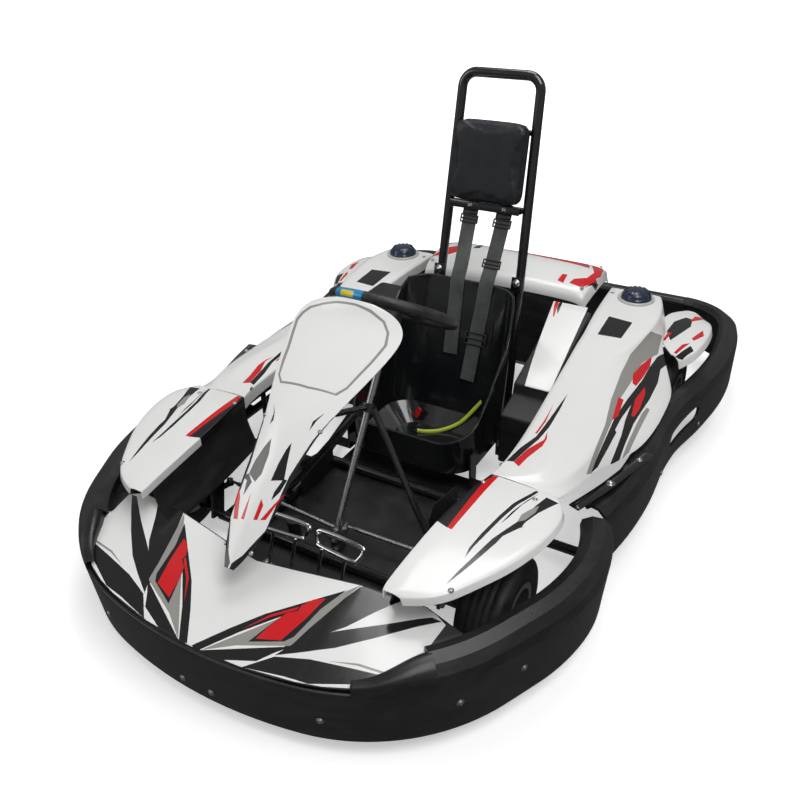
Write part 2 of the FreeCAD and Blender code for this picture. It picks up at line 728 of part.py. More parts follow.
def rear_cover():
    """The cover behind the seat, over the axle."""
    rows = [
        # station, crown height, half-width
        (rear_axle_y - 22, COVER_CROWN - 58, 286),
        (rear_axle_y - 15, COVER_CROWN - 24, 290),
        (rear_axle_y + 60, COVER_CROWN - 8, 296),
        (tail_y, COVER_CROWN, 298),
        (rear_axle_y + 205, COVER_CROWN - 16, 294),
        (rear_axle_y + 262, COVER_CROWN - 62, 280),
    ]
    stations = []
    for y, crown, half in rows:
        line = [(half, crown - 46), (half - 8, crown - 12), (half - 30, crown), (half / 2, crown + 3)]
        stations.append((y, [(-x, z) for x, z in line] + line[::-1]))
    return panel(stations, d.panel_wall)


def tank_caps():
    """The two round caps on the pods."""
    outline = [V(0, 0, 0), V(d.cap_radius + 6, 0, 0), V(d.cap_radius + 6, 0, 5), V(d.cap_radius, 0, 8),
               V(d.cap_radius - 4, 0, 8 + d.cap_rise * 0.6), V(d.cap_radius * 0.5, 0, 8 + d.cap_rise),
               V(0, 0, 8 + d.cap_rise)]
    cap = polygon(outline).revolve(ORIGIN, Z_AXIS, 360)
    cap.translate(V(424, rear_axle_y + 82, SHELF_TOP + d.fit_gap))
    return pair(cap)


# Front panel: station along its spine, half-width and fall of its edges

SPINE = [
    # ahead of the front axle, height, half-width, crown
    (328, 292, 12, 1),
    (310, 307, 25, 3),
    (250, 368, 55, 8),
    (160, 457, 60, 12),
    (86, 514, 73, 13),
    (32, 549, 91, 14),
    (-46, 595, 122, 16),
    (-147, 647, 152, 18),
    (-180, 670, 144, 16),
    (-196, 690, 108, 12),
    (-206, 698, 52, 6),
]


def spine_point(index):
    """A point of the front panel's spine."""
    ahead, height = SPINE[index][:2]
    return V(0, front_axle_y - ahead, height)


def front_panel():
    """The shield-shaped fairing, crowned across its spine."""
    wires = []
    for index, (_ahead, _height, half, crown) in enumerate(SPINE):
        before = spine_point(max(index - 1, 0))
        after = spine_point(min(index + 1, len(SPINE) - 1))
        out = X_AXIS.cross(after - before).normalize()
        middle = spine_point(index)
        inner = middle - out * d.panel_wall
        edge = X_AXIS * half - out * crown
        far_edge = X_AXIS * -half - out * crown
        wires.append(Part.Wire([
            Part.Arc(middle + far_edge, middle, middle + edge).toShape(),
            Part.LineSegment(middle + edge, inner + edge).toShape(),
            Part.Arc(inner + edge, inner, inner + far_edge).toShape(),
            Part.LineSegment(inner + far_edge, middle + far_edge).toShape()]))
    return Part.makeLoft(wires, True, False)


def column_support():
    """The stays and upper bearing of the column, with the stay of the front panel."""
    bearing = down_column(d.bearing_station)
    foot_y = front_axle_y + 150
    bore = d.column_radius + d.running_gap
    ring = rod(bearing - column_up * 12, bearing + column_up * 12, bore + 9)
    pieces = [ring]
    for side in (-1, 1):
        foot = V(side * d.rail_half_front, foot_y, tube_top + d.fit_gap)
        pieces.append(box((foot.x - 22, foot.x + 22), (foot_y - 20, foot_y + 20), (foot.z, foot.z + 5)))
        pieces.append(rod(foot + Z_AXIS * 4, bearing + X_AXIS * side * 16, 9))
    before, after = spine_point(5), spine_point(6)
    out = X_AXIS.cross(after - before).normalize()
    seat = before + (after - before) * 0.6 - out * d.panel_wall
    pieces.append(bent_tube([seat, seat - out * 150, bearing + V(0, -14, 8)], 8, 20))
    support = fused(pieces)
    return support.cut(rod(down_column(0), down_column(d.column_length), bore))


def footwell_side():
    """The upright sheet inside the left rail, behind the column's stay."""
    outer = d.rail_half_front - d.tube_radius - 8
    floor = d.frame_height - d.tube_radius
    front, rear = front_axle_y + 185, front_cross_y - d.cross_radius - 2
    sheet = polygon([V(outer, y, z) for y, z in (
        (front, floor), (rear, floor), (rear, floor + 84), (front + 25, floor + 112), (front, floor + 80))])
    return sheet.extrude(V(-3, 0, 0))


def pedals():
    """The brake and throttle loops, each on a foot that stands on the floor sheet."""
    floor = d.frame_height - d.tube_radius
    foot_y = front_axle_y - 88
    made = []
    for middle in (-78, 78):
        loop = bent_tube([V(middle - 38, foot_y, floor + 8), V(middle - 38, foot_y + 48, floor + 140),
                          V(middle + 38, foot_y + 48, floor + 140), V(middle + 38, foot_y, floor + 8)], 5, 16)
        bar = rod(V(middle - 50, foot_y, floor + 8), V(middle + 50, foot_y, floor + 8), 6)
        feet = [box((x - 6, x + 6), (foot_y - 12, foot_y + 12), (floor, floor + 14))
                for x in (middle - 44, middle + 44)]
        made.append(fused([loop, bar] + feet))
    return Part.makeCompound(made)


# Seat

def seat_section(height, front, rear, half, corner):
    """A level rounded rectangle; front and rear are measured from the roll bar's foot."""
    low, high = hoop_foot_y + front, hoop_foot_y + rear
    face = Part.makePlane(2 * half, high - low, V(-half, low, height))
    solid = face.extrude(Z_AXIS)
    upright = [edge for edge in solid.Edges if abs(edge.tangentAt(0).z) > 0.9]
    rounded = solid.makeFillet(corner, upright)
    return min(rounded.Faces, key=lambda f: f.CenterOfMass.z).OuterWire


SEAT_SECTIONS = [
    # height above the seat's foot, front, rear, narrower than the hips, corner
    (0, -360, -150, 60, 60),
    (50, -418, -108, 0, 90),
    (240, -430, -62, 0, 100),
    (460, -430, -10, 8, 100),
]


def seat():
    """The bucket: a tapering tub, hollowed, with its front and sides cut down."""
    outer, inner = [], []
    wall = d.seat_wall
    for height, front, rear, narrower, corner in SEAT_SECTIONS:
        half = d.seat_half_width - narrower
        outer.append(seat_section(d.seat_foot + height, front, rear, half, corner))
        inner.append(seat_section(d.seat_foot + height + wall, front + wall, rear - wall,
                                  half - wall, corner - wall))
    shell = Part.makeLoft(outer, True, True).cut(Part.makeLoft(inner, True, True))
    x = -d.seat_half_width - 10
    rim = polygon([V(x, hoop_foot_y + along, d.seat_foot + up) for along, up in (
        (-450, 140), (-330, 190), (-250, 250), (-150, 330), (-90, 420), (-55, 454), (0, 460),
        (60, 560), (-450, 560))])
    return shell.cut(rim.extrude(V(2 * d.seat_half_width + 20, 0, 0)))


# Roll bar, pad and straps, modelled upright at the bar's foot and then leaned back

hoop_foot_z = cross_top + d.fit_gap + 5


def leaned(shape):
    """Leans an upright shape back about the roll bar's foot."""
    shape = shape.copy()
    shape.rotate(ORIGIN, X_AXIS, -d.hoop_lean)
    shape.translate(V(0, hoop_foot_y, hoop_foot_z))
    return shape


def up_hoop(height):
    """The length along the leaning bar up to a height above the ground."""
    return (height - hoop_foot_z) / math.cos(math.radians(d.hoop_lean))


def hoop_half(height):
    """Half the spread of the bar's legs at a height above the ground."""
    share = (height - hoop_foot_z) / (d.hoop_top - hoop_foot_z)
    return d.hoop_half_foot + share * (d.hoop_half_top - d.hoop_half_foot)


PAD_PLATE = (6, 12)
pad_foot = d.cross_bar_height + d.pad_rise


def roll_bar():
    """The hoop, its two cross bars, the plate behind the pad and the feet."""
    top = up_hoop(d.hoop_top)
    pieces = [bent_tube([V(d.hoop_half_foot, 0, -3), V(d.hoop_half_top, 0, top),
                         V(-d.hoop_half_top, 0, top), V(-d.hoop_half_foot, 0, -3)],
                        d.hoop_tube, d.hoop_bend)]
    for height in (d.cross_bar_height, pad_foot + d.pad_height - 30):
        half = hoop_half(height)
        pieces.append(rod(V(-half, 0, up_hoop(height)), V(half, 0, up_hoop(height)), 8))
    low, high = up_hoop(d.cross_bar_height), up_hoop(pad_foot + d.pad_height - 30)
    pieces.append(box((-80, 80), (-PAD_PLATE[1], -PAD_PLATE[0]), (low + 12, high)))
    bar = leaned(fused(pieces))
    feet = []
    for side in (-1, 1):
        x = side * d.hoop_half_foot
        feet.append(box((x - 22, x + 22), (hoop_foot_y - 30, hoop_foot_y + 30),
                        (cross_top + d.fit_gap, hoop_foot_z)))
    bar = bar.cut(box((-400, 400), (hoop_foot_y - 60, hoop_foot_y + 60), (0, hoop_foot_z - 1)))
    return fused([bar] + feet)


def headrest():
    """The pad on the roll bar."""
    back = -PAD_PLATE[1] - d.fit_gap
    low = up_hoop(pad_foot)
    pad = box((-d.pad_width / 2, d.pad_width / 2), (back - d.pad_depth, back), (low, low + d.pad_height))
    pad = pad.makeFillet(14, pad.Edges)
    return leaned(pad)


STRAP_MIDDLE = 38


def strap_line():
    """The rear face of the straps seen from the side: over the cross bar, then down the seat's back."""
    lean = math.radians(d.hoop_lean)
    bar_y = hoop_foot_y + up_hoop(d.cross_bar_height) * math.sin(lean)
    wrap = [(bar_y + 8.85 * math.cos(math.radians(a)), d.cross_bar_height + 8.85 * math.sin(math.radians(a)))
            for a in (-15, 25, 65, 105, 140)]
    return wrap + [(hoop_foot_y + along, d.seat_foot + up) for along, up in (
        (-17.8, 462), (-18.8, 456), (-48.5, 330), (-70.3, 240))]


def shoulder_straps():
    """The two webbing straps."""
    outline = thick_line(strap_line(), d.strap_wall)
    left = STRAP_MIDDLE - d.strap_width / 2
    strap = polygon([V(left, y, z) for y, z in outline]).extrude(V(d.strap_width, 0, 0))
    return pair(strap)


def harness_buckle():
    """The buckle on the foot of the straps."""
    y, z = strap_line()[-1]
    rear = y - d.strap_wall * 1.03 - d.fit_gap / 2
    half = STRAP_MIDDLE + d.strap_width / 2 - 4
    return box((-half, half), (rear - 12, rear), (z, z + 30))


# Engine side and tank side

COVER_FRONT = (90, 300)
COVER_REAR = (425, 418)
COVER_WALL = 4


def tank_cover_height(y):
    """The top of the sloping tank cover."""
    front, rear = hoop_foot_y - 250 + COVER_FRONT[0], hoop_foot_y - 250 + COVER_REAR[0]
    return COVER_FRONT[1] + (y - front) / (rear - front) * (COVER_REAR[1] - COVER_FRONT[1])


def tank_cover():
    """The sloping cover on the tank, wider and further in at its rear."""
    wires = []
    for along, inner, outer in ((COVER_FRONT[0], 262, 338), (COVER_REAR[0], 212, 322)):
        y = hoop_foot_y - 250 + along
        top = tank_cover_height(y)
        outline = [V(inner, y, top), V(outer, y, top), V(outer, y, top - COVER_WALL),
                   V(inner, y, top - COVER_WALL)]
        wires.append(Part.makePolygon(outline + [outline[0]]))
    return Part.makeLoft(wires, True, True)


def fuel_tank():
    """The tank on the left rail, its top parallel to the cover and its front lower."""
    front, rear = hoop_foot_y - 250, hoop_foot_y + 165
    step = hoop_foot_y - 250 + COVER_FRONT[0] + 5
    low = tube_top + d.fit_gap
    gap = COVER_WALL + 2 * d.fit_gap
    side = polygon([V(d.seat_half_width + 26, y, z) for y, z in (
        (front, low), (rear, low), (rear, tank_cover_height(rear) - gap),
        (step, tank_cover_height(step) - gap), (step - 8, tank_cover_height(step) - 36),
        (front, tank_cover_height(step) - 60))])
    return side.extrude(V(112, 0, 0))


def engine_block():
    """The engine as one plain mass on the right rail."""
    return box((-500, -d.rail_half_rear + 22), (rear_axle_y - 450, side_bar_rear_y - d.cross_radius - 8),
               (tube_top + d.fit_gap, 288))


def air_box():
    """The intake box on the engine, beside the seat."""
    made = box((-338, -232), (rear_axle_y - 400, rear_axle_y - 210), (288 + d.fit_gap, 425))
    return made.makeFillet(12, [e for e in made.Edges if abs(e.tangentAt(0).z) > 0.9])


SPROCKET_X = -256
DISC_X = 250


def chain_guard():
    """The hood over the sprocket, bolted to the right bearing carrier."""
    z = d.rear_tyre_radius
    reach = d.sprocket_radius + 8
    start = V(SPROCKET_X - 14, rear_axle_y, z)
    hood = Part.makeCylinder(reach + 3, 28, start, X_AXIS)
    hood = hood.cut(Part.makeCylinder(reach, 25.5, start + X_AXIS * 2.5, X_AXIS))
    hood = hood.cut(box((start.x - 1, start.x + 40), (rear_axle_y - 200, rear_axle_y + 200), (z - 200, z + 25)))
    carrier_face = -d.rail_half_rear + 12
    lug = box((carrier_face + d.fit_gap, start.x + 1), (rear_axle_y - 10, rear_axle_y + 10),
              (z + 26, z + d.axle_radius + 15))
    return fused([hood, lug])


def brake_reservoir():
    """The fluid pot in the footwell."""
    base = V(-125, front_axle_y + 42, d.frame_height - d.tube_radius)
    pot = Part.makeCylinder(17, 40, base)
    cap = Part.makeCylinder(19, 14, base + Z_AXIS * 40)
    return fused([pot, cap])


# Steering

def steering_wheel():
    """The round rim."""
    return Part.makeTorus(d.wheel_radius, d.grip_radius, steering_hub, column_up)


def steering_hub_plate():
    """The boss and its three spokes, which reach the rim."""
    spoke_half = 17
    reach = math.sqrt((d.wheel_radius - d.grip_radius - d.fit_gap) ** 2 - spoke_half ** 2)
    boss = rod(steering_hub - column_up * 40, steering_hub + column_up * 6, 26)
    spokes = [boss]
    for angle in (0, 90, 180):
        spoke = box((0, reach), (-spoke_half, spoke_half), (-d.spoke_plate / 2, d.spoke_plate / 2))
        spoke.rotate(ORIGIN, Z_AXIS, angle)
        spoke.rotate(ORIGIN, X_AXIS, d.column_angle - 90)
        spoke.translate(steering_hub)
        spokes.append(spoke)
    bore = rod(steering_hub - column_up * 41, steering_hub - column_up * 12, d.column_radius + d.fit_gap)
    return fused(spokes).cut(bore)


pitman_centre = down_column(d.pitman_station)
pitman_tip = pitman_centre + column_back * d.pitman_reach
eye_lift = d.pitman_plate / 2 + d.fit_gap + d.rod_eye_height / 2


def steering_column():
    """The column with its pitman plate and the tie rod bolt."""
    half = column_up * (d.pitman_plate / 2)
    bolt_half = column_up * (eye_lift + d.rod_eye_height / 2 + 4)
    web = polygon([pitman_centre + X_AXIS * 12 - half, pitman_tip + X_AXIS * 9 - half,
                   pitman_tip - X_AXIS * 9 - half, pitman_centre - X_AXIS * 12 - half])
    pieces = [rod(down_column(d.column_length), down_column(12 + d.fit_gap), d.column_radius),
              rod(pitman_centre - half, pitman_centre + half, 16),
              rod(pitman_tip - half, pitman_tip + half, d.rod_eye),
              web.extrude(column_up * d.pitman_plate),
              rod(pitman_tip - bolt_half, pitman_tip + bolt_half, d.pitman_bolt)]
    return fused(pieces)


def kingpin_point(x, y, z):
    """A point given from the left kingpin's centre, in its leaning frame."""
    return at_kingpin(Part.Vertex(x, y, z)).Point


def knuckle():
    """The left knuckle: barrel, steering arm and stub axle."""
    barrel = Part.makeCylinder(d.kingpin_barrel, 2 * d.barrel_half, V(0, 0, -d.barrel_half))
    low, high = -d.arm_drop - d.arm_plate / 2, -d.arm_drop + d.arm_plate / 2
    arm = box((-8, 8), (0, d.steering_arm), (low, high))
    arm_end = Part.makeCylinder(11, d.arm_plate, V(0, d.steering_arm, low))
    wheel = V(d.front_track / 2, front_axle_y, d.front_tyre_radius)
    inner_end = V(d.kingpin_half_span, wheel.y, wheel.z)
    hub_end = d.hub_half_width + 1
    shoulder = rod(inner_end, wheel - X_AXIS * hub_end, d.spindle_radius + 4)
    spindle = rod(inner_end, wheel + X_AXIS * (hub_end + 12), d.spindle_radius)
    nut = rod(wheel + X_AXIS * hub_end, wheel + X_AXIS * (hub_end + 9), d.spindle_radius + 5)
    made = fused([at_kingpin(fused([barrel, arm, arm_end])), shoulder, spindle, nut])
    reach = d.barrel_half + 1
    bore = Part.makeCylinder(d.kingpin_radius + d.running_gap, 2 * reach, V(0, 0, -reach))
    return made.cut(at_kingpin(bore))


def tie_rod(side):
    """A tie rod; the left one's eye lies above the pitman plate, the right one's below."""
    inner = pitman_tip + column_up * (eye_lift * side)
    outer = kingpin_point(0, d.steering_arm, -d.arm_drop + d.arm_plate / 2 + d.fit_gap
                          + d.rod_eye_height / 2)
    outer.x *= side
    kingpin_up = kingpin_point(0, 0, 1) - kingpin_point(0, 0, 0)
    half_eye = d.rod_eye_height / 2
    along = (outer - inner).normalize()
    pieces = [rod(inner - column_up * half_eye, inner + column_up * half_eye, d.rod_eye),
              rod(outer - kingpin_up * half_eye, outer + kingpin_up * half_eye, d.rod_eye),
              rod(inner + along * 6, outer - along * 5, d.tie_rod_radius - 2),
              rod(inner + along * 30, outer - along * 30, d.tie_rod_radius)]
    bore = rod(inner - column_up * 12, inner + column_up * 12, d.pitman_bolt + d.fit_gap)
    return fused(pieces).cut(bore)


# Rear axle

def axle_shaft():
    """The live axle tube."""
    reach = d.rear_track / 2 + d.hub_half_width + 6
    z = d.rear_tyre_radius
    return pipe(V(-reach, rear_axle_y, z), V(reach, rear_axle_y, z), d.axle_radius,
                d.axle_radius - d.axle_wall)


def sprocket():
    """The toothed sprocket and its carrier ring on the axle."""
    teeth = int(round(d.sprocket_teeth))
    root = d.sprocket_radius - 7
    corners = []
    for tooth in range(teeth):
        for share, radius in ((0.0, root), (0.3, root), (0.52, d.sprocket_radius), (0.78, d.sprocket_radius)):
            angle = 2 * math.pi * (tooth + share) / teeth
            corners.append(V(SPROCKET_X - 3, rear_axle_y + radius * math.cos(angle),
                             d.rear_tyre_radius + radius * math.sin(angle)))
    plate = polygon(corners).extrude(V(6, 0, 0))
    centre = V(SPROCKET_X, rear_axle_y, d.rear_tyre_radius)
    boss = rod(centre - X_AXIS * 3, centre + X_AXIS * 20, d.axle_radius + 12)
    bore = rod(centre - X_AXIS * 10, centre + X_AXIS * 30, d.axle_radius + d.fit_gap)
    return fused([plate, boss]).cut(bore)


def brake_disc():
    """The disc and its carrier ring on the axle."""
    centre = V(DISC_X, rear_axle_y, d.rear_tyre_radius)
    half = X_AXIS * (d.disc_wall / 2)
    plate = rod(centre - half, centre + half, d.disc_radius)
    boss = rod(centre - X_AXIS * 24, centre + half, d.axle_radius + 12)
    bore = rod(centre - X_AXIS * 30, centre + X_AXIS * 30, d.axle_radius + d.fit_gap)
    return fused([plate, boss]).cut(bore)


# Chassis pieces

def floor_tray():
    """The floor sheet under the footwell."""
    body = doc.addObject("PartDesign::Body", "floor_tray")
    body.Label = "floor_tray"
    front = FRONT_AXLE + " - dims.porch_reach"
    rear = FRONT_AXLE + " + 360"
    wing_front = front + " + 220"
    sketch = bound_sketch(body, "floor_outline", "XY_Plane", [
        ("-dims.rail_half_front", front), ("dims.rail_half_front", front),
        ("dims.rail_half_front", wing_front), ("dims.tray_reach", wing_front),
        ("dims.tray_reach", rear), ("-dims.tray_reach", rear),
        ("-dims.tray_reach", wing_front), ("-dims.rail_half_front", wing_front)])
    pad = body.newObject("PartDesign::Pad", "floor_pad")
    pad.Profile = sketch
    pad.setExpression("Length", "dims.floor_thickness")
    body.setExpression("Placement.Base.z",
                       "dims.frame_height - dims.tube_radius - dims.floor_thickness - dims.fit_gap")
    return body


add_shape("cross_tubes", cross_tubes())
add_shape("seat_tabs", seat_tabs())
add_shape("front_hoops", front_hoops())
add_shape("tail_bars", tail_bars())
floor_tray()
for name, shape in (
        ("front_band", front_band), ("nose_bumper", nose_bumper), ("front_panel", front_panel),
        ("column_support", column_support), ("pedals", pedals), ("brake_reservoir", brake_reservoir),
        ("seat", seat), ("roll_bar", roll_bar), ("headrest", headrest),
        ("shoulder_straps", shoulder_straps), ("harness_buckle", harness_buckle),
        ("tank_caps", tank_caps), ("rear_cover", rear_cover), ("rear_bumper", rear_bumper),
        ("engine_block", engine_block), ("air_box", air_box), ("fuel_tank", fuel_tank),
        ("tank_cover", tank_cover), ("chain_guard", chain_guard),
        ("steering_wheel", steering_wheel), ("steering_hub", steering_hub_plate),
        ("steering_column", steering_column), ("axle_shaft", axle_shaft),
        ("sprocket", sprocket), ("brake_disc", brake_disc)):
    add_shape(name, shape())
for name, shape in (
        ("main_rail", main_rail), ("front_yoke", front_yoke), ("side_bar", side_bar),
        ("footwell_side", footwell_side), ("side_pod", side_pod),
        ("front_fender", front_fender), ("rear_fender", rear_fender),
        ("side_bumper", side_bumper), ("knuckle", knuckle)):
    left = shape()
    add_shape(name + "_left", left)
    add_shape(name + "_right", mirrored(left))
add_shape("tie_rod_left", tie_rod(1))
add_shape("tie_rod_right", tie_rod(-1))

# Wheels: each tyre and rim is turned about its axle and set at its own station
for end, axle, bore in (("front", FRONT_AXLE, "dims.spindle_radius + dims.running_gap"),
                        ("rear", REAR_AXLE, "dims.axle_radius + dims.fit_gap")):
    for side, sign in (("left", ""), ("right", "-")):
        for kind, outline in (("tyre", tyre_outline(end)), ("rim", rim_outline(end, bore))):
            wheel = turned_body("%s_%s_%s" % (end, kind, side), outline)
            placed(wheel, "%sdims.%s_track / 2" % (sign, end), axle, "dims.%s_tyre_radius" % end)

doc.recompute()

# Every object has to be sound before anything is written
for obj in doc.Objects:
    if "Invalid" in obj.State or "Error" in obj.State:
        raise RuntimeError("%s failed: %s" % (obj.Label, obj.State))
written = [obj for obj in doc.Objects if obj.TypeId in ("Part::Feature", "PartDesign::Body")]
for obj in written:
    if obj.Shape.isNull() or not obj.Shape.isValid() or not obj.Shape.Solids:
        raise RuntimeError("%s has no sound solid" % obj.Label)
for obj in written:
    obj.Shape.exportStep("parts/%s.step" % obj.Label)
print(len(written), "nodes")
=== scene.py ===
"""Rental racing kart: finishes, livery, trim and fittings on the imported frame.

Metres throughout. The front of the kart points to -Y, its left is +X and up is +Z.
"""

import bmesh
import bpy
import math
from math import radians
from mathutils import Matrix, Vector
from mathutils.bvhtree import BVHTree


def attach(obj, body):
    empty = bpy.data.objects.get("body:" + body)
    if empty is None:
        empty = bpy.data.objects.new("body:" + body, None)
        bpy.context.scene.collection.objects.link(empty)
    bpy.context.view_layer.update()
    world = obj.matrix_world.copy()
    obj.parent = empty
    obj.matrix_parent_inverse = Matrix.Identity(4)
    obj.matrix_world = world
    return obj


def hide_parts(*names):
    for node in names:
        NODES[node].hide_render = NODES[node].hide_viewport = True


bl_info = {
    "name": "Rental kart",
    "version": (1, 0, 0),
    "blender": (4, 5, 0),
    "location": "View3D > Sidebar > Kart",
    "description": "Dresses a rental racing kart: bodywork, livery, seat, harness, tyres and small parts",
    "category": "Object",
}

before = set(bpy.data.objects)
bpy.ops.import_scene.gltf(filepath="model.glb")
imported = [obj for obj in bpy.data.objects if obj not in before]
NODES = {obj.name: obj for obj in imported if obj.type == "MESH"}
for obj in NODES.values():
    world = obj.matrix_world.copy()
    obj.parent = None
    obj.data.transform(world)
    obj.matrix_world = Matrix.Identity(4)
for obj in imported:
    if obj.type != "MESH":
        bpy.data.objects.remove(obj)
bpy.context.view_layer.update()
SIDES = (("left", 1), ("right", -1))
ABOVE = 2.0  # a height clear of the whole kart


# Materials

class Shade:
    """A node material: one shader and the nodes that feed it."""

    def __init__(self, name, colour, roughness, metallic=0.0, **sockets):
        self.material = bpy.data.materials.new(name)
        self.material.use_nodes = True
        self.tree = self.material.node_tree
        self.shader = self.tree.nodes["Principled BSDF"]
        self.shader.inputs["Base Color"].default_value = (*colour, 1)
        self.shader.inputs["Roughness"].default_value = roughness
        self.shader.inputs["Metallic"].default_value = metallic
        for key, value in sockets.items():
            self.shader.inputs[key.replace("_", " ")].default_value = value
        self.material.diffuse_color = (*colour, 1)
        self.place = self.add("ShaderNodeTexCoord").outputs["Object"]

    def add(self, kind, **settings):
        """A node with its attributes and unlinked inputs set."""
        node = self.tree.nodes.new(kind)
        for key, value in settings.items():
            if key in node.inputs:
                node.inputs[key].default_value = value
            else:
                setattr(node, key, value)
        return node

    def link(self, source, target):
        self.tree.links.new(source, target)

    def scaled(self, scale):
        """Object coordinates stretched along the axes."""
        node = self.add("ShaderNodeMapping")
        node.inputs["Scale"].default_value = scale
        self.link(self.place, node.inputs["Vector"])
        return node.outputs["Vector"]

    def noise(self, scale, detail=3.0, roughness=0.5, along=None):
        """Noise on the piece's own coordinates, or along others."""
        node = self.add("ShaderNodeTexNoise", Scale=scale, Detail=detail, Roughness=roughness)
        self.link(along if along is not None else self.place, node.inputs["Vector"])
        return node.outputs["Fac"]

    def ramp(self, factor, *stops):
        """A colour ramp of (position, colour) stops."""
        node = self.add("ShaderNodeValToRGB")
        elements = node.color_ramp.elements
        while len(elements) < len(stops):
            elements.new(0.5)
        for element, (position, colour) in zip(elements, stops):
            element.position = position
            element.color = (*colour, 1)
        self.link(factor, node.inputs["Fac"])
        return node.outputs["Color"]

    def span(self, factor, low, high, start=0.0, end=1.0):
        """A value carried from one range to another and clamped there."""
        node = self.add("ShaderNodeMapRange")
        for key, value in (("From Min", start), ("From Max", end), ("To Min", low), ("To Max", high)):
            node.inputs[key].default_value = value
        self.link(factor, node.inputs["Value"])
        return node.outputs["Result"]

    def mix(self, factor, first, second):
        """Two colours mixed by a factor."""
        node = self.add("ShaderNodeMix", data_type="RGBA")
        self.link(factor, node.inputs["Factor"])
        for socket, value in zip((node.inputs[6], node.inputs[7]), (first, second)):
            if isinstance(value, tuple):
                socket.default_value = (*value, 1)
            else:
                self.link(value, socket)
        return node.outputs[2]

    def bump(self, *layers):
        """Stacks (height, depth in metres) layers on the normal."""
        last = None
        for height, depth in layers:
            node = self.add("ShaderNodeBump", Strength=1.0, Distance=depth)
            self.link(height, node.inputs["Height"])
            if last is not None:
                self.link(last, node.inputs["Normal"])
            last = node.outputs["Normal"]
        self.link(last, self.shader.inputs["Normal"])

    def colour_from(self, output):
        self.link(output, self.shader.inputs["Base Color"])

    def roughness_from(self, output):
        self.link(output, self.shader.inputs["Roughness"])


def gloss_panel(name, colour, dust=(0.35, 0.33, 0.3)):
    """Moulded gloss plastic with fine scratches and a little dust."""
    s = Shade(name, colour, 0.24, Coat_Weight=0.3, Coat_Roughness=0.08)
    haze = s.noise(5, 5, 0.6)
    scratches = s.noise(60, 2, 0.5, s.scaled((1, 0.05, 1)))
    s.colour_from(s.mix(s.span(haze, 0.0, 0.06, 0.45, 0.8), colour, dust))
    s.roughness_from(s.span(scratches, 0.2, 0.27, 0.3, 0.7))
    s.bump((s.noise(260, 2), 0.00004))
    return s.material


def moulded_black(name, colour, low=0.28, high=0.5, grain=0.0002):
    """Scuffed black moulding with paler rubbed marks."""
    s = Shade(name, colour, 0.4)
    scuffs = s.noise(9, 6, 0.7, s.scaled((1, 1, 3.5)))
    pale = tuple(c + 0.009 for c in colour)
    s.colour_from(s.ramp(scuffs, (0.45, colour), (0.62, pale), (0.8, colour)))
    s.roughness_from(s.span(scuffs, low, high, 0.3, 0.7))
    s.bump((s.noise(420, 2), grain), (s.noise(11, 2), 0.0005))
    return s.material


def glass_fibre(name, colour):
    """Smooth gloss gel coat, waved a little by the lay-up."""
    s = Shade(name, colour, 0.16, Coat_Weight=0.6, Coat_Roughness=0.05)
    s.roughness_from(s.span(s.noise(7, 4), 0.1, 0.3, 0.35, 0.7))
    s.bump((s.noise(9, 2), 0.0022))
    return s.material


def tube_paint(name, colour):
    """Gloss powder coat with orange peel."""
    s = Shade(name, colour, 0.2, Coat_Weight=0.8, Coat_Roughness=0.06)
    s.roughness_from(s.span(s.noise(18, 4), 0.14, 0.36, 0.35, 0.7))
    s.bump((s.noise(170, 2), 0.00012))
    return s.material


def metal(name, colour, roughness, grain=(1, 1, 1), depth=0.00004, dirt=(0.05, 0.045, 0.04), dirty=0.3):
    """Bare metal with drawn grain and grime in patches."""
    s = Shade(name, colour, roughness, 1.0)
    streaks = s.noise(240, 3, 0.6, s.scaled(grain))
    grime = s.noise(26, 5, 0.6)
    s.colour_from(s.mix(s.span(grime, 0, dirty, 0.52, 0.72), colour, dirt))
    s.roughness_from(s.span(streaks, roughness * 0.7, min(roughness * 1.5, 0.9), 0.3, 0.7))
    s.bump((streaks, depth))
    return s.material


def rubber(name, colour, roughness=0.62, worn=0.022, spread=0.14):
    """Rolled rubber or coated cloth, dusty in patches."""
    s = Shade(name, colour, roughness)
    wear = s.noise(22, 6, 0.65)
    pale = tuple(c + worn for c in colour)
    s.colour_from(s.ramp(wear, (0.4, colour), (0.7, pale)))
    s.roughness_from(s.span(wear, roughness - spread, roughness + spread, 0.35, 0.7))
    s.bump((s.noise(520, 3), 0.00022))
    return s.material


def webbing(name, colour):
    """Woven strap: ribs across it and a fine twill."""
    s = Shade(name, colour, 0.72, Sheen_Weight=0.3)
    ribs = s.add("ShaderNodeTexWave", Scale=90, Distortion=0.4, bands_direction="X")
    s.link(s.place, ribs.inputs["Vector"])
    twill = s.add("ShaderNodeTexWave", Scale=160, Distortion=0.3, bands_direction="Z")
    s.link(s.place, twill.inputs["Vector"])
    worn = s.noise(14, 4, 0.6)
    pale = tuple(c * 1.9 for c in colour)
    s.colour_from(s.ramp(worn, (0.4, colour), (0.66, pale)))
    s.bump((ribs.outputs["Fac"], 0.0003), (twill.outputs["Fac"], 0.0002))
    return s.material


MATERIALS = {}


def finish(name):
    """One of the kart's finishes, made the first time it is asked for."""
    if name not in MATERIALS:
        MATERIALS[name] = FINISHES[name](bpy.context.scene.kart_colours)
    return MATERIALS[name]


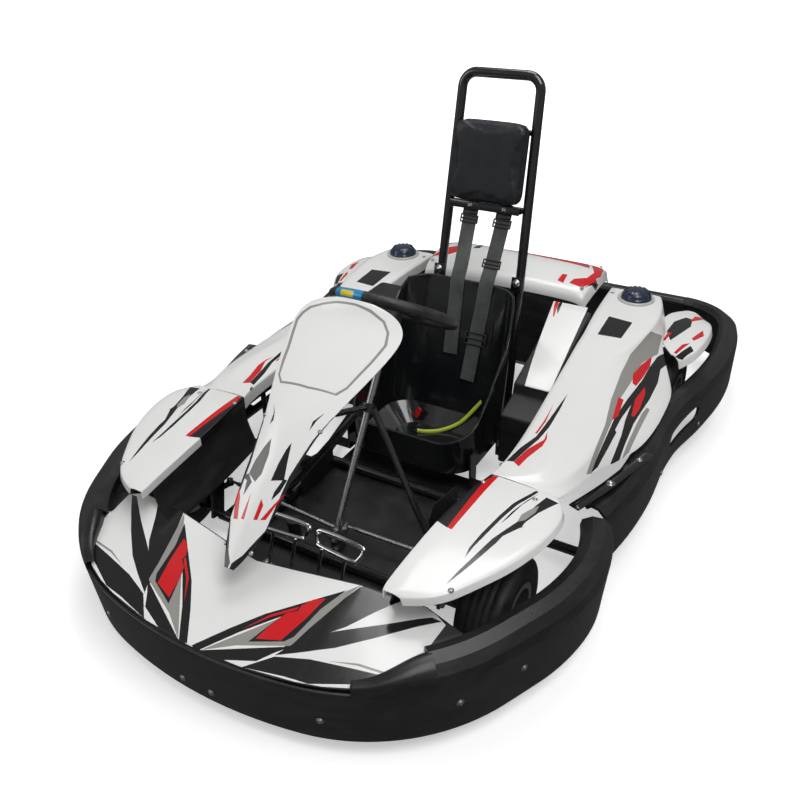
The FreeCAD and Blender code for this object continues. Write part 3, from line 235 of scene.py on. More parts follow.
FINISHES = {
    "white gloss": lambda kart: gloss_panel("white_gloss", tuple(kart.panels)),
    "bumper black": lambda kart: moulded_black("bumper_black", tuple(kart.bumpers), 0.25, 0.4),
    "frame black": lambda kart: tube_paint("frame_black", tuple(kart.frame_paint)),
    "seat black": lambda kart: glass_fibre("seat_black", tuple(kart.seat)),
    "dark casting": lambda kart: metal("dark_casting", (0.09, 0.09, 0.095), 0.45, depth=0.0002),
    "chrome": lambda kart: metal("chrome", (0.75, 0.75, 0.77), 0.12, dirty=0.15),
    "bright steel": lambda kart: metal("bright_steel", (0.5, 0.5, 0.52), 0.3, (1, 0.1, 1)),
    "floor sheet": lambda kart: moulded_black("floor_sheet", (0.012, 0.012, 0.013), 0.24, 0.5),
    "rim alloy": lambda kart: metal("rim_alloy", (0.34, 0.34, 0.35), 0.36),
    "tyre rubber": lambda kart: rubber("tyre_rubber", (0.012, 0.012, 0.012)),
    "grip rubber": lambda kart: rubber("grip_rubber", (0.013, 0.013, 0.014), 0.5),
    "pad leather": lambda kart: rubber("pad_leather", tuple(kart.pad), 0.46, 0.006, 0.05),
    "webbing": lambda kart: webbing("webbing", tuple(kart.straps)),
    "livery black": lambda kart: gloss_panel("livery_black", (0.008, 0.008, 0.009), (0.03, 0.03, 0.03)),
    "livery red": lambda kart: gloss_panel("livery_red", tuple(kart.livery_bright)),
    "livery grey": lambda kart: gloss_panel("livery_grey", tuple(kart.livery_grey)),
    "livery silver": lambda kart: gloss_panel("livery_silver", (0.52, 0.52, 0.5)),
    "livery charcoal": lambda kart: gloss_panel("livery_charcoal", (0.06, 0.058, 0.056)),
    "cap blue": lambda kart: gloss_panel("cap_blue", tuple(kart.caps), (0.1, 0.11, 0.13)),
    "box plastic": lambda kart: moulded_black("box_plastic", (0.009, 0.009, 0.01), 0.42, 0.6),
    "badge blue": lambda kart: gloss_panel("badge_blue", tuple(kart.grip_patch)),
    "badge yellow": lambda kart: gloss_panel("badge_yellow", tuple(kart.grip_patch_middle)),
    "strap yellow": lambda kart: rubber("strap_yellow", tuple(kart.lap_strap), 0.6),
}

NODE_FINISH = {
    "cross_tubes": "frame black", "seat_tabs": "frame black", "front_hoops": "frame black",
    "tail_bars": "frame black", "floor_tray": "floor sheet", "front_band": "bumper black",
    "nose_bumper": "bumper black", "front_panel": "white gloss", "column_support": "frame black",
    "pedals": "chrome", "brake_reservoir": "box plastic", "seat": "seat black", "roll_bar": "frame black",
    "headrest": "pad leather", "shoulder_straps": "webbing", "harness_buckle": "dark casting",
    "tank_caps": "cap blue", "rear_cover": "white gloss", "rear_bumper": "bumper black",
    "engine_block": "dark casting", "air_box": "box plastic", "fuel_tank": "box plastic",
    "tank_cover": "white gloss", "chain_guard": "box plastic", "steering_wheel": "grip rubber",
    "steering_hub": "dark casting", "steering_column": "bright steel", "axle_shaft": "bright steel",
    "sprocket": "bright steel", "brake_disc": "bright steel",
}
SIDE_FINISH = {
    "main_rail": "frame black", "front_yoke": "frame black", "side_bar": "frame black",
    "footwell_side": "box plastic",
    "side_pod": "white gloss", "front_fender": "white gloss", "rear_fender": "white gloss",
    "side_bumper": "bumper black", "knuckle": "dark casting", "tie_rod": "bright steel",
    "front_tyre": "tyre rubber", "rear_tyre": "tyre rubber", "front_rim": "rim alloy", "rear_rim": "rim alloy",
}


# Making pieces

def add_piece(name, bm, body, slot, *finishes):
    """A finished mesh that rides on a body; the slot it is given is not used."""
    mesh = bpy.data.meshes.new(name)
    bm.to_mesh(mesh)
    bm.free()
    for each in finishes:
        mesh.materials.append(finish(each))
    mesh.polygons.foreach_set("use_smooth", [True] * len(mesh.polygons))
    piece = bpy.data.objects.new(name, mesh)
    bpy.context.collection.objects.link(piece)
    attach(piece, body)
    return piece


def thicken(piece, wall, edge=0.0008):
    """Gives a sheet its wall, inwards, and a small round along the rim."""
    solid = piece.modifiers.new("wall", "SOLIDIFY")
    solid.thickness, solid.offset = wall, -1
    rim = piece.modifiers.new("rim", "BEVEL")
    rim.width, rim.segments, rim.limit_method, rim.angle_limit = edge, 2, "ANGLE", radians(60)


def sheet_through(rows, creases=None, level=3):
    """A smooth sheet through rows of points in millimetres, sharper along the given columns."""
    bm = bmesh.new()
    across = len(rows[0])
    bmesh.ops.create_grid(bm, x_segments=across - 1, y_segments=len(rows) - 1, size=1)
    for vert, point in zip(bm.verts, (point for row in rows for point in row)):
        vert.co = Vector(point) / 1000
    bm.verts.index_update()
    crease = bm.edges.layers.float.new("crease_edge")
    for edge in bm.edges:
        first, second = (vert.index % across for vert in edge.verts)
        if first == second:
            edge[crease] = (creases or {}).get(first, 0)
    mesh = bpy.data.meshes.new("sheet")
    bm.to_mesh(mesh)
    bm.free()
    rough = bpy.data.objects.new("sheet", mesh)
    bpy.context.collection.objects.link(rough)
    smooth = rough.modifiers.new("smooth", "SUBSURF")
    smooth.levels = smooth.render_levels = level
    smooth.boundary_smooth = "PRESERVE_CORNERS"
    bm = bmesh.new()
    bm.from_object(rough, bpy.context.evaluated_depsgraph_get())
    bpy.data.objects.remove(rough)
    bpy.data.meshes.remove(mesh)
    if sum(face.normal.z for face in bm.faces) < 0:
        bmesh.ops.reverse_faces(bm, faces=bm.faces)
    return bm


def inside(outline, x, y):
    """Whether a point lies inside a closed outline."""
    hit = False
    for (ax, ay), (bx, by) in zip(outline, outline[1:] + outline[:1]):
        if (ay > y) != (by > y) and x < ax + (bx - ax) * (y - ay) / (by - ay):
            hit = not hit
    return hit


def paint(bm, outline, finish_index):
    """Cuts an outline, seen from above, into the faces and gives what it holds a finish."""
    points = [(x / 1000, y / 1000) for x, y in outline]
    for (ax, ay), (bx, by) in zip(points, points[1:] + points[:1]):
        low, high = (min(ax, bx), min(ay, by)), (max(ax, bx), max(ay, by))
        near = []
        for face in bm.faces:
            xs, ys = zip(*(vert.co.xy for vert in face.verts))
            if min(xs) <= high[0] and max(xs) >= low[0] and min(ys) <= high[1] and max(ys) >= low[1]:
                near.append(face)
        parts = set(near) | {e for f in near for e in f.edges} | {v for f in near for v in f.verts}
        bmesh.ops.bisect_plane(bm, geom=list(parts), plane_co=(ax, ay, 0), plane_no=(by - ay, ax - bx, 0),
                               dist=1e-6)
    for face in bm.faces:
        middle = face.calc_center_median()
        if inside(points, middle.x, middle.y):
            face.material_index = finish_index


def surface(node):
    """A node's surface to find places on, also where a piece stands for it."""
    bm = bmesh.new()
    bm.from_mesh(NODES[node].data)
    tree = BVHTree.FromBMesh(bm)
    bm.free()
    return tree


def mirrored(outline, sign):
    """An outline on the kart's left or, with a sign of -1, on its right."""
    return [(x * sign, y) for x, y in outline]


def laid_on(node, outline, lift, step=0.012):
    """A sheet inside an outline, dropped from above onto a node of the frame."""
    xs, ys = zip(*outline)
    middle = Vector(((min(xs) + max(xs)) / 2000, (min(ys) + max(ys)) / 2000, 0))
    wide, deep = (max(xs) - min(xs)) / 1000, (max(ys) - min(ys)) / 1000
    bm = bmesh.new()
    bmesh.ops.create_grid(bm, x_segments=int(wide / step), y_segments=int(deep / step), size=0.5)
    for vert in bm.verts:
        vert.co = middle + Vector((vert.co.x * wide * 1.02, vert.co.y * deep * 1.02, 0))
    for face in bm.faces:
        face.material_index = 1
    paint(bm, outline, 0)
    bmesh.ops.delete(bm, geom=[face for face in bm.faces if face.material_index], context="FACES")
    under = surface(node)
    for vert in bm.verts:
        spot = under.ray_cast(Vector((vert.co.x, vert.co.y, ABOVE)), Vector((0, 0, -1)))[0]
        if spot is None:
            spot = under.find_nearest(vert.co)[0]
        vert.co = spot + Vector((0, 0, lift))
    return bm


def softened(node, width, slot, finish_name, body="chassis", least=14):
    """A copy of a node with its facets merged and its edges rounded, in place of the node."""
    bm = bmesh.new()
    bm.from_mesh(NODES[node].data)
    bmesh.ops.remove_doubles(bm, verts=bm.verts, dist=1e-5)
    bmesh.ops.dissolve_limit(bm, angle_limit=radians(0.6), verts=bm.verts, edges=bm.edges)
    sharp = [edge for edge in bm.edges if edge.is_manifold and edge.calc_face_angle() > radians(least)]
    bmesh.ops.bevel(bm, geom=sharp, offset=width, offset_type="OFFSET", segments=3, profile=0.5,
                    affect="EDGES", clamp_overlap=True, material=-1)
    piece = add_piece(f"{node}_skin", bm, body, slot, finish_name)
    piece.modifiers.new("shading", "WEIGHTED_NORMAL").keep_sharp = True
    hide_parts(node)
    return piece


def smooth_line(points, steps=6, closed=False):
    """Points in millimetres joined by a smooth line, as metres."""
    count = len(points)
    line = []
    for index in range(count if closed else count - 1):
        near = []
        for offset in (-1, 0, 1, 2):
            place = index + offset
            near.append(Vector(points[place % count if closed else min(max(place, 0), count - 1)]))
        a, b, c, e = near
        for step in range(steps):
            t = step / steps
            line.append((b * 2 + (c - a) * t + (a * 2 - b * 5 + c * 4 - e) * t * t
                         + (b * 3 - a - c * 3 + e) * t ** 3) / 2000)
    if not closed:
        line.append(Vector(points[-1]) / 1000)
    return line


def joined(bm, part, finish_index=0, dish=False):
    """Adds a part to a mesh, its doubles merged and its faces turned outwards, or into an open dish."""
    bmesh.ops.remove_doubles(part, verts=part.verts, dist=1e-6)
    bmesh.ops.recalc_face_normals(part, faces=part.faces)
    if dish:
        bmesh.ops.reverse_faces(part, faces=part.faces)
    for face in part.faces:
        face.material_index = finish_index
    mesh = bpy.data.meshes.new("part")
    part.to_mesh(mesh)
    part.free()
    bm.from_mesh(mesh)
    bpy.data.meshes.remove(mesh)


def swept(bm, line, section, closed=False, side=None, finish_index=0):
    """A section, in metres across and up, extruded along a line; side keeps its first axis level with it."""
    part = bmesh.new()
    ring = [part.verts.new() for _corner in section]
    edges = first_edges = [part.edges.new(pair) for pair in zip(ring, ring[1:] + ring[:1])]
    across = None
    for index, place in enumerate(line):
        if index:
            made = bmesh.ops.extrude_edge_only(part, edges=edges)["geom"]
            fresh = {each for each in made if isinstance(each, bmesh.types.BMVert)}
            edges = [each for each in made if isinstance(each, bmesh.types.BMEdge) and fresh.issuperset(each.verts)]
            ring = [next(edge.other_vert(vert) for edge in vert.link_edges if edge.other_vert(vert) in fresh)
                    for vert in ring]
        before = line[index - 1] if index or closed else place
        after = line[(index + 1) % len(line)] if index + 1 < len(line) or closed else place
        along = (after - before).normalized()
        if side is not None:
            across = Vector(side)
        elif across is None:
            across = along.orthogonal()
        across = (across - along * across.dot(along)).normalized()
        up = along.cross(across)
        for vert, (x, y) in zip(ring, section):
            vert.co = place + across * x + up * y
    if closed:
        bmesh.ops.bridge_loops(part, edges=first_edges + edges)
    else:
        bmesh.ops.holes_fill(part, edges=part.edges)
    joined(bm, part, finish_index)


def circle(radius, count=12):
    """The corners of a round section."""
    return [(radius * math.cos(2 * math.pi * k / count), radius * math.sin(2 * math.pi * k / count))
            for k in range(count)]


def lathe(bm, profile, centre, axis, count=32, finish_index=0, dish=False):
    """A profile of (radius, height) in millimetres spun about an axis through a centre."""
    centre, axis = Vector(centre) / 1000, Vector(axis).normalized()
    across = axis.orthogonal().normalized()
    part = bmesh.new()
    verts = [part.verts.new(centre + (across * radius + axis * height) / 1000) for radius, height in profile]
    edges = [part.edges.new(pair) for pair in zip(verts, verts[1:])]
    bmesh.ops.spin(part, geom=verts + edges, cent=centre, axis=axis, angle=2 * math.pi, steps=count, use_merge=True)
    joined(bm, part, finish_index, dish)


# Profiles of a button head and of a nut, each on its washer: radius and height
SOCKET_HEAD = ((0, 1.2), (2.2, 1.2), (2.6, 3.4), (4.6, 3.2), (6, 1.8), (6.2, 0.4), (9, 0.4), (9, -1), (0, -1))
HEX_NUT = ((0, 6.5), (3.2, 6.5), (3.4, 5), (6.4, 4.8), (7, 4), (7, 1), (11, 1), (11, -1), (0, -1))


def bolt(bm, place, axis, size=1.0, profile=SOCKET_HEAD, finish_index=0):
    """A button head on a washer, standing on a surface."""
    lathe(bm, [(radius * size, height * size) for radius, height in profile], place, axis, 14, finish_index)


def block(bm, size, place, turn=None, edge=1.0, finish_index=0):
    """A box of a size in millimetres with rounded edges, turned and set at a place."""
    part = bmesh.new()
    bmesh.ops.create_cube(part, size=0.001, matrix=Matrix.Diagonal((*size, 1)))
    bmesh.ops.bevel(part, geom=part.edges, offset=edge / 1000, segments=2, profile=0.5, affect="EDGES", material=-1)
    part.transform(Matrix.Translation(Vector(place) / 1000) @ (turn.to_4x4() if turn else Matrix()))
    joined(bm, part, finish_index)


# Body panels: rows along the kart, in millimetres: the station, then pairs of x and z

LIVERY = ("white gloss", "livery black", "livery red", "livery grey", "livery charcoal", "livery silver")
WHITE, BLACK, RED, GREY, CHARCOAL, SILVER = range(6)

POD_ROWS = (
    (-380, 372, 298, 372, 336, 400, 338, 480, 334, 536, 322),
    (-348, 380, 301, 380, 339, 474, 341, 520, 330, 545, 312),
    (-245, 383, 307, 383, 345, 496, 345, 548, 328, 561, 297),
    (-108, 374, 312, 374, 350, 474, 352, 552, 326, 590, 268),
    (-23, 368, 319, 368, 357, 452, 360, 536, 338, 626, 264),
    (80, 362, 328, 362, 366, 443, 369, 516, 348, 638, 262),
    (182, 356, 339, 356, 377, 454, 379, 507, 358, 638, 262),
    (279, 350, 348, 350, 386, 492, 386, 510, 366, 634, 264),
    (325, 348, 350, 348, 388, 504, 388, 516, 369, 622, 270),
    (375, 343, 356, 343, 394, 512, 391, 524, 371, 588, 306),
    (440, 338, 361, 338, 399, 520, 393, 530, 372, 550, 346),
    (520, 333, 364, 333, 402, 522, 402, 533, 368, 544, 338),
    (600, 329, 364, 329, 402, 505, 402, 514, 374, 522, 344),
    (640, 327, 364, 327, 402, 488, 402, 494, 382, 500, 354),
)
FRONT_FENDER_ROWS = (
    (-810, 334, 294, 334, 317, 356, 318, 374, 312, 380, 294),
    (-797, 331, 297, 331, 320, 374, 321, 408, 315, 414, 297),
    (-770, 332, 301, 332, 324, 375, 325, 450, 319, 456, 301),
    (-719, 334, 306, 334, 329, 376, 330, 484, 324, 490, 306),
    (-665, 337, 310, 337, 333, 377, 334, 518, 328, 524, 310),
    (-623, 339, 313, 339, 336, 378, 337, 540, 331, 546, 313),
    (-537, 346, 316, 346, 339, 383, 340, 570, 334, 576, 316),
    (-459, 358, 317, 358, 340, 388, 341, 578, 335, 584, 317),
    (-417, 366, 315, 366, 338, 392, 339, 566, 333, 572, 315),
    (-381, 372, 312, 372, 335, 396, 336, 538, 330, 544, 312),
)
REAR_FENDER_ROWS = (
    (418, 588, 326, 598, 326, 612, 306, 618, 282),
    (450, 560, 331, 600, 331, 642, 320, 648, 296),
    (530, 512, 332, 595, 332, 658, 324, 664, 300),
    (620, 506, 332, 592, 332, 659, 324, 665, 300),
    (690, 512, 331, 590, 331, 650, 320, 656, 296),
    (742, 560, 325, 588, 325, 614, 302, 620, 278),
)
# station, crown height, half-width
COVER_ROWS = ((488, 398, 286), (495, 432, 290), (570, 448, 296), (640, 456, 298), (715, 440, 294), (772, 394, 280))
# distance ahead of the front axle, height, half-width, fall of the edges
SPINE = (
    (328, 292, 12, 1), (310, 307, 25, 3), (250, 368, 55, 8), (160, 457, 60, 12), (86, 514, 73, 13),
    (32, 549, 91, 14), (-46, 595, 122, 16), (-147, 647, 152, 18), (-180, 670, 144, 16),
    (-196, 690, 108, 12), (-206, 698, 52, 6),
)
FRONT_AXLE = -565
NOSE_EDGE = (
    (0, -1037), (126, -1030), (250, -1009), (303, -994), (353, -973), (401, -947), (445, -916), (462, -902),
    (450, -865), (445, -830), (448, -792), (451, -760), (425, -751), (400, -748), (250, -768), (100, -793), (0, -808),
)
# heading along the front band in degrees, share of the full lip
LIP_START = ((26, 0), (29, 0.06), (33, 0.28), (37, 0.6), (41, 0.88), (44.8, 1.0), (45.6, 1.0))
# distance inside the band, height of the lip's skin
LIP = ((-0.5, 200), (1, 214), (6, 228), (14, 238), (26, 245), (40, 249), (52, 247), (60, 240), (65, 230), (66, 214))
NOSE_CORNER = (142.1, -532.8, 501.3)


def row_points(row, sign=1):
    """The points of one row of a panel table."""
    return [(x * sign, row[0], z) for x, z in zip(row[1::2], row[2::2])]


def dress(name, node, bm, wall, livery, sign=1):
    """Paints a panel, gives it its wall and puts it in place of its node."""
    for index, outline in livery:
        paint(bm, mirrored(outline, sign), index)
    piece = add_piece(name, bm, "chassis", "white_plastic", *LIVERY)
    thicken(piece, wall)
    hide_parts(node)
    return piece


POD_LIVERY = (
    (BLACK, ((386, -321), (396, -259), (412, -202), (414, -142), (415, -58), (417, 9), (423, -63), (427, -148),
        (423, -208), (412, -262), (403, -317))),
    (RED, ((403, -318), (414, -256), (435, -205), (430, -169), (440, -199), (441, -232), (427, -287),
        (421, -329))),
    (RED, ((405, -190), (405, -131), (400, -51), (410, -130), (410, -188))),
    (GREY, ((558, -236), (553, -179), (540, -47), (520, 59), (506, 186), (503, 276), (513, 350), (520, 417),
        (543, 475), (558, 380), (549, 345), (536, 287), (537, 192), (536, 99), (549, -26), (557, -128),
        (565, -215))),
    (BLACK, ((564, -215), (561, -175), (555, -77), (549, 5), (550, 111), (556, 227), (556, 306), (560, 370),
        (571, 424), (590, 402), (575, 308), (574, 211), (564, 111), (561, 27), (563, -32), (568, -34),
        (569, -96), (569, -180))),
    (BLACK, ((586, -131), (584, -89), (580, -29), (570, 35), (563, 113), (574, 211), (575, 308), (575, 370),
        (590, 281), (593, 190), (591, 117), (590, 48), (593, 1), (596, -56), (599, -96))),
    (RED, ((541, 186), (531, 219), (537, 283), (549, 350), (556, 306), (554, 232), (551, 188))),
    (RED, ((577, 67), (565, 138), (569, 216), (578, 194), (585, 114), (583, 73))),
    (RED, ((547, -13), (531, 90), (544, 98), (553, 23))),
    (GREY, ((602, -86), (599, -33), (594, 110), (597, 149), (605, 152), (608, 28), (610, -47))),
    (BLACK, ((389, 323), (386, 438), (460, 432), (458, 329))),
)
FENDER_LIVERY = (
    (BLACK, ((339, -591), (372, -602), (372, -506), (373, -413), (386, -374), (361, -388), (354, -433),
        (343, -554))),
    (RED, ((371, -601), (383, -603), (388, -502), (393, -383), (409, -363), (388, -372), (372, -412),
        (372, -505))),
    (BLACK, ((444, -663), (440, -634), (444, -583), (454, -513), (464, -459), (484, -403), (489, -387),
        (496, -388), (489, -416), (474, -460), (463, -515), (455, -571), (447, -624))),
    (BLACK, ((467, -537), (473, -488), (487, -431), (500, -393), (483, -456), (474, -510))),
    (BLACK, ((442, -743), (447, -707), (459, -649), (471, -586), (485, -544), (497, -510), (512, -507),
        (510, -525), (487, -568), (483, -595), (472, -642), (459, -690))),
    (BLACK, ((496, -513), (519, -398), (550, -404), (525, -462), (511, -509), (512, -526))),
    (GREY, ((496, -512), (495, -485), (506, -457), (517, -437), (519, -463), (509, -499))),
)
REAR_FENDER_LIVERY = (
    (BLACK, ((540, 549), (543, 627), (568, 677), (590, 674), (597, 618), (584, 566), (565, 494))),
    (RED, ((545, 484), (545, 547), (556, 545), (552, 487))),
    (RED, ((587, 659), (590, 706), (618, 730), (612, 691), (590, 652))),
    (RED, ((618, 543), (635, 617), (646, 580), (627, 532))),
    (RED, ((593, 430), (603, 489), (621, 512), (601, 429))),
    (BLACK, ((601, 418), (626, 497), (641, 476), (621, 428))),
)
COVER_LIVERY = (
    (RED, ((-75, 708), (13, 709), (127, 716), (227, 710), (247, 645), (197, 654), (88, 666), (-58, 681))),
    (RED, ((-291, 544), (-249, 614), (-224, 635), (-203, 587), (-232, 556))),
    (RED, ((240, 690), (245, 715), (265, 717), (286, 674), (291, 632), (286, 581), (263, 580), (271, 622))),
    (RED, ((182, 530), (184, 569), (201, 570), (204, 524))),
    (RED, ((221, 530), (228, 556), (292, 598), (291, 570), (265, 525))),
    (BLACK, ((273, 526), (290, 586), (294, 607), (295, 580))),
    (BLACK, ((-168, 632), (-167, 711), (-123, 712), (-151, 705), (-147, 642))),
    (BLACK, ((-304, 568), (-288, 663), (-256, 692), (-269, 627))),
)
TANK_LIVERY = (
    (RED, ((216, 433), (229, 430), (232, 406), (239, 361), (234, 364), (221, 403))),
    (BLACK, ((231, 427), (240, 436), (241, 423), (245, 374), (233, 399))),
    (BLACK, ((262, 433), (298, 431), (274, 427))),
)
STRAPS = {
    "left": [(61, 372, 716), (62, 366, 706), (65, 344, 676), (68, 300, 616), (69, 261, 562), (69, 229, 517),
             (66, 213, 452), (60, 197, 386), (54, 178, 318), (50, 164, 262), (47, 155, 226)],
    "right": [(-48, 373, 716), (-46, 367, 706), (-43, 345, 676), (-35, 301, 616), (-28, 262, 562), (-25, 230, 517),
              (-24, 214, 452), (-23, 198, 386), (-21, 179, 318), (-20, 173, 296)],
}
# node, places near which a button head sits, its size
BOLTS = (
    ("front_band", ((296, -1002, 108), (529, -845, 130), (608, -711, 140), (40, -1040, 78)), 1.0),
    ("side_bumper_left", ((665, 137, 101), (720, 420, 110), (690, 780, 110), (560, 1000, 120)), 1.0),
    ("front_fender_left", ((458, -752, 330), (372, -420, 340), (500, -420, 338)), 0.7),
    ("side_pod_left", ((372, -340, 340), (345, 600, 402), (470, 615, 402)), 0.7),
    ("front_panel", ((60, -880, 330), (80, -640, 520)), 0.6),
    ("rear_cover", ((270, 520, 440), (260, 740, 430)), 0.7),
    ("nose_bumper", ((140, -1010, 185), (330, -960, 190), (420, -800, 215)), 0.8),
)
SHIELD_LIVERY = (
    (BLACK, ((16, -898), (28, -875), (58, -815), (63, -725), (76, -651), (96, -597), (88, -597), (69, -651),
        (53, -725), (48, -815), (19, -866), (2, -884), (2, -898))),
    (BLACK, ((-16, -898), (-28, -875), (-58, -815), (-63, -725), (-76, -651), (-96, -597), (-88, -597),
        (-69, -651), (-53, -725), (-48, -815), (-19, -866), (-2, -884), (-2, -898))),
    (GREY, ((-48, -366), (-84, -370), (-120, -377), (-135, -389), (-142, -405), (-132, -439), (-119, -477),
        (-111, -510), (-98, -546), (-79, -565), (2, -567), (73, -559), (89, -537), (112, -466), (123, -420),
        (114, -393), (93, -376), (50, -367), (8, -365))),
    (WHITE, ((-45, -370), (-80, -374), (-112, -381), (-127, -393), (-132, -410), (-123, -441), (-110, -479),
        (-102, -512), (-93, -545), (-77, -560), (1, -562), (68, -556), (84, -535), (106, -464), (116, -421),
        (108, -395), (89, -380), (49, -372), (8, -369))),
    (BLACK, ((53, -641), (51, -623), (67, -599), (58, -620))),
    (BLACK, ((-48, -652), (-52, -630), (-65, -610), (-50, -629), (-43, -644))),
    (CHARCOAL, ((-45, -743), (-43, -721), (-34, -696), (-25, -678), (-13, -706), (-10, -741), (-19, -756))),
    (BLACK, ((18, -746), (19, -717), (23, -688), (28, -674), (38, -709), (46, -735))),
    (BLACK, ((-62, -747), (-43, -755), (-36, -780), (-27, -757), (-45, -743))),
    (BLACK, ((35, -759), (36, -772), (47, -754), (52, -732), (44, -733))),
    (RED, ((-64, -757), (-55, -786), (-38, -818), (-26, -818), (-43, -783))),
    (RED, ((-18, -792), (-18, -816), (-9, -816), (-17, -773))),
    (RED, ((13, -777), (13, -811), (22, -809), (23, -785))),
    (RED, ((57, -752), (28, -807), (40, -802), (57, -756))),
)
NOSE_LIVERY = (
    (BLACK, ((253, -769), (290, -753), (353, -750), (317, -799), (276, -864), (229, -918), (176, -975),
        (153, -1006), (42, -1052), (30, -1036), (186, -956), (196, -927), (208, -903), (238, -806))),
    (GREY, ((30, -1036), (252, -766), (238, -806), (208, -903), (197, -949), (93, -995))),
    (BLACK, ((6, -1035), (56, -967), (102, -911), (229, -791), (205, -851), (191, -929), (179, -946),
        (110, -978), (123, -941), (138, -901), (79, -968), (25, -1040))),
    (RED, ((200, -826), (178, -838), (162, -861), (163, -875), (144, -889), (130, -925), (120, -966),
        (171, -947), (189, -885))),
    (RED, ((80, -960), (117, -912), (159, -874), (159, -866), (114, -907))),
    (BLACK, ((179, -980), (203, -935), (261, -883), (344, -822), (420, -761), (441, -758), (390, -810),
        (340, -860), (281, -914), (234, -946))),
    (BLACK, ((134, -1029), (181, -982), (249, -957), (346, -933), (425, -915), (455, -907), (426, -929),
        (277, -1001), (225, -1009))),
    (GREY, ((284, -944), (342, -926), (444, -911), (447, -905), (342, -921))),
)


# Sizes and colours a user may change

def colour_of(name, description, default):
    """A colour a user may change."""
    return bpy.props.FloatVectorProperty(
        name=name, description=description, subtype="COLOR", size=3, min=0, max=1, default=default)


def length_of(name, description, default):
    """A length in metres that a user may change."""
    return bpy.props.FloatProperty(name=name, description=description, unit="LENGTH", min=0, default=default)


class KartColours(bpy.types.PropertyGroup):
    """Colours of the kart's finishes"""
    panels: colour_of("Panels", "Bodywork", (0.83, 0.83, 0.82))
    livery_bright: colour_of("Livery, bright", "The bright shapes of the livery", (0.62, 0.006, 0.01))
    livery_grey: colour_of("Livery, grey", "The grey shapes and the number field's edge", (0.3, 0.29, 0.27))
    bumpers: colour_of("Bumpers", "The ring of bumpers", (0.011, 0.011, 0.012))
    frame_paint: colour_of("Frame paint", "Frame tubes and roll bar", (0.01, 0.01, 0.011))
    seat: colour_of("Seat", "Seat shell", (0.008, 0.009, 0.01))
    pad: colour_of("Pad", "The pad's cover", (0.009, 0.012, 0.016))
    straps: colour_of("Straps", "Shoulder straps", (0.042, 0.047, 0.043))
    lap_strap: colour_of("Lap strap", "The bright strap in the seat", (0.5, 0.6, 0.04))
    caps: colour_of("Caps", "Tank caps", (0.02, 0.03, 0.06))
    grip_patch: colour_of("Grip patch", "The patch on the steering wheel", (0.01, 0.24, 0.5))
    grip_patch_middle: colour_of("Grip patch, middle", "The field inside that patch", (0.75, 0.6, 0.03))


class KartSizes(bpy.types.PropertyGroup):
    """Sizes of the pieces made here"""
    panel_wall: length_of("Panel wall", "Thickness of the moulded panels", 0.003)
    bumper_round: length_of("Bumper round", "Round on the bumpers' edges", 0.004)
    pad_swell: length_of("Pad swell", "How far the pad's cover may swell", 0.005)
    strap_width: length_of("Strap width", "Width of the shoulder straps", 0.046)
    strap_wall: length_of("Strap thickness", "Thickness of the shoulder straps", 0.0024)
    grip_radius: length_of("Grip radius", "Section of the steering wheel's grip", 0.0148)
    pedal_tube: length_of("Pedal tube", "Radius of the pedal loops' tube", 0.0064)
    tread_groove: length_of("Tread groove", "Depth of the grooves in the tyres", 0.0018)


class KartView(bpy.types.PropertyGroup):
    """The camera and the floor"""
    camera_place: bpy.props.FloatVectorProperty(
        name="Camera place", description="Where the camera stands", subtype="XYZ", unit="LENGTH",
        default=(0.9915, -1.8067, 1.4933))
    camera_turn: bpy.props.FloatVectorProperty(
        name="Camera turn", description="Azimuth, elevation and roll in degrees", default=(31.1593, 31.546, -1.7878))
    lens: bpy.props.FloatProperty(name="Lens", description="Focal length in millimetres", default=36.668)
    floor_shade: bpy.props.FloatProperty(
        name="Floor shade", description="How pale the floor and backdrop are", default=0.9, min=0, max=1)


class KART_OT_frame_finishes(bpy.types.Operator):
    """Gives every part of the frame its finish"""
    bl_idname = "kart.frame_finishes"
    bl_label = "Frame finishes"

    def execute(self, context):
        table = dict(NODE_FINISH)
        for side, _sign in SIDES:
            table.update({f"{node}_{side}": name for node, name in SIDE_FINISH.items()})
        for node, name in table.items():
            mesh = NODES[node].data
            mesh.materials.clear()
            mesh.materials.append(finish(name))
        return {"FINISHED"}


class KART_OT_side_panels(bpy.types.Operator):
    """Makes the pods and the fenders over the wheels, with their livery"""
    bl_idname = "kart.side_panels"
    bl_label = "Side panels"

    def execute(self, context):
        wall = context.scene.kart_sizes.panel_wall
        for side, sign in SIDES:
            for name, rows, creases, livery in (
                    ("side_pod", POD_ROWS, {1: 0.8, 2: 0.5, 3: 0.9}, POD_LIVERY),
                    ("front_fender", FRONT_FENDER_ROWS, {1: 0.8, 2: 0.3, 3: 0.6}, FENDER_LIVERY),
                    ("rear_fender", REAR_FENDER_ROWS, {2: 0.6}, REAR_FENDER_LIVERY)):
                bm = sheet_through([row_points(row, sign) for row in rows], creases)
                dress(f"{name}_skin_{side}", f"{name}_{side}", bm, wall, livery, sign)
        return {"FINISHED"}


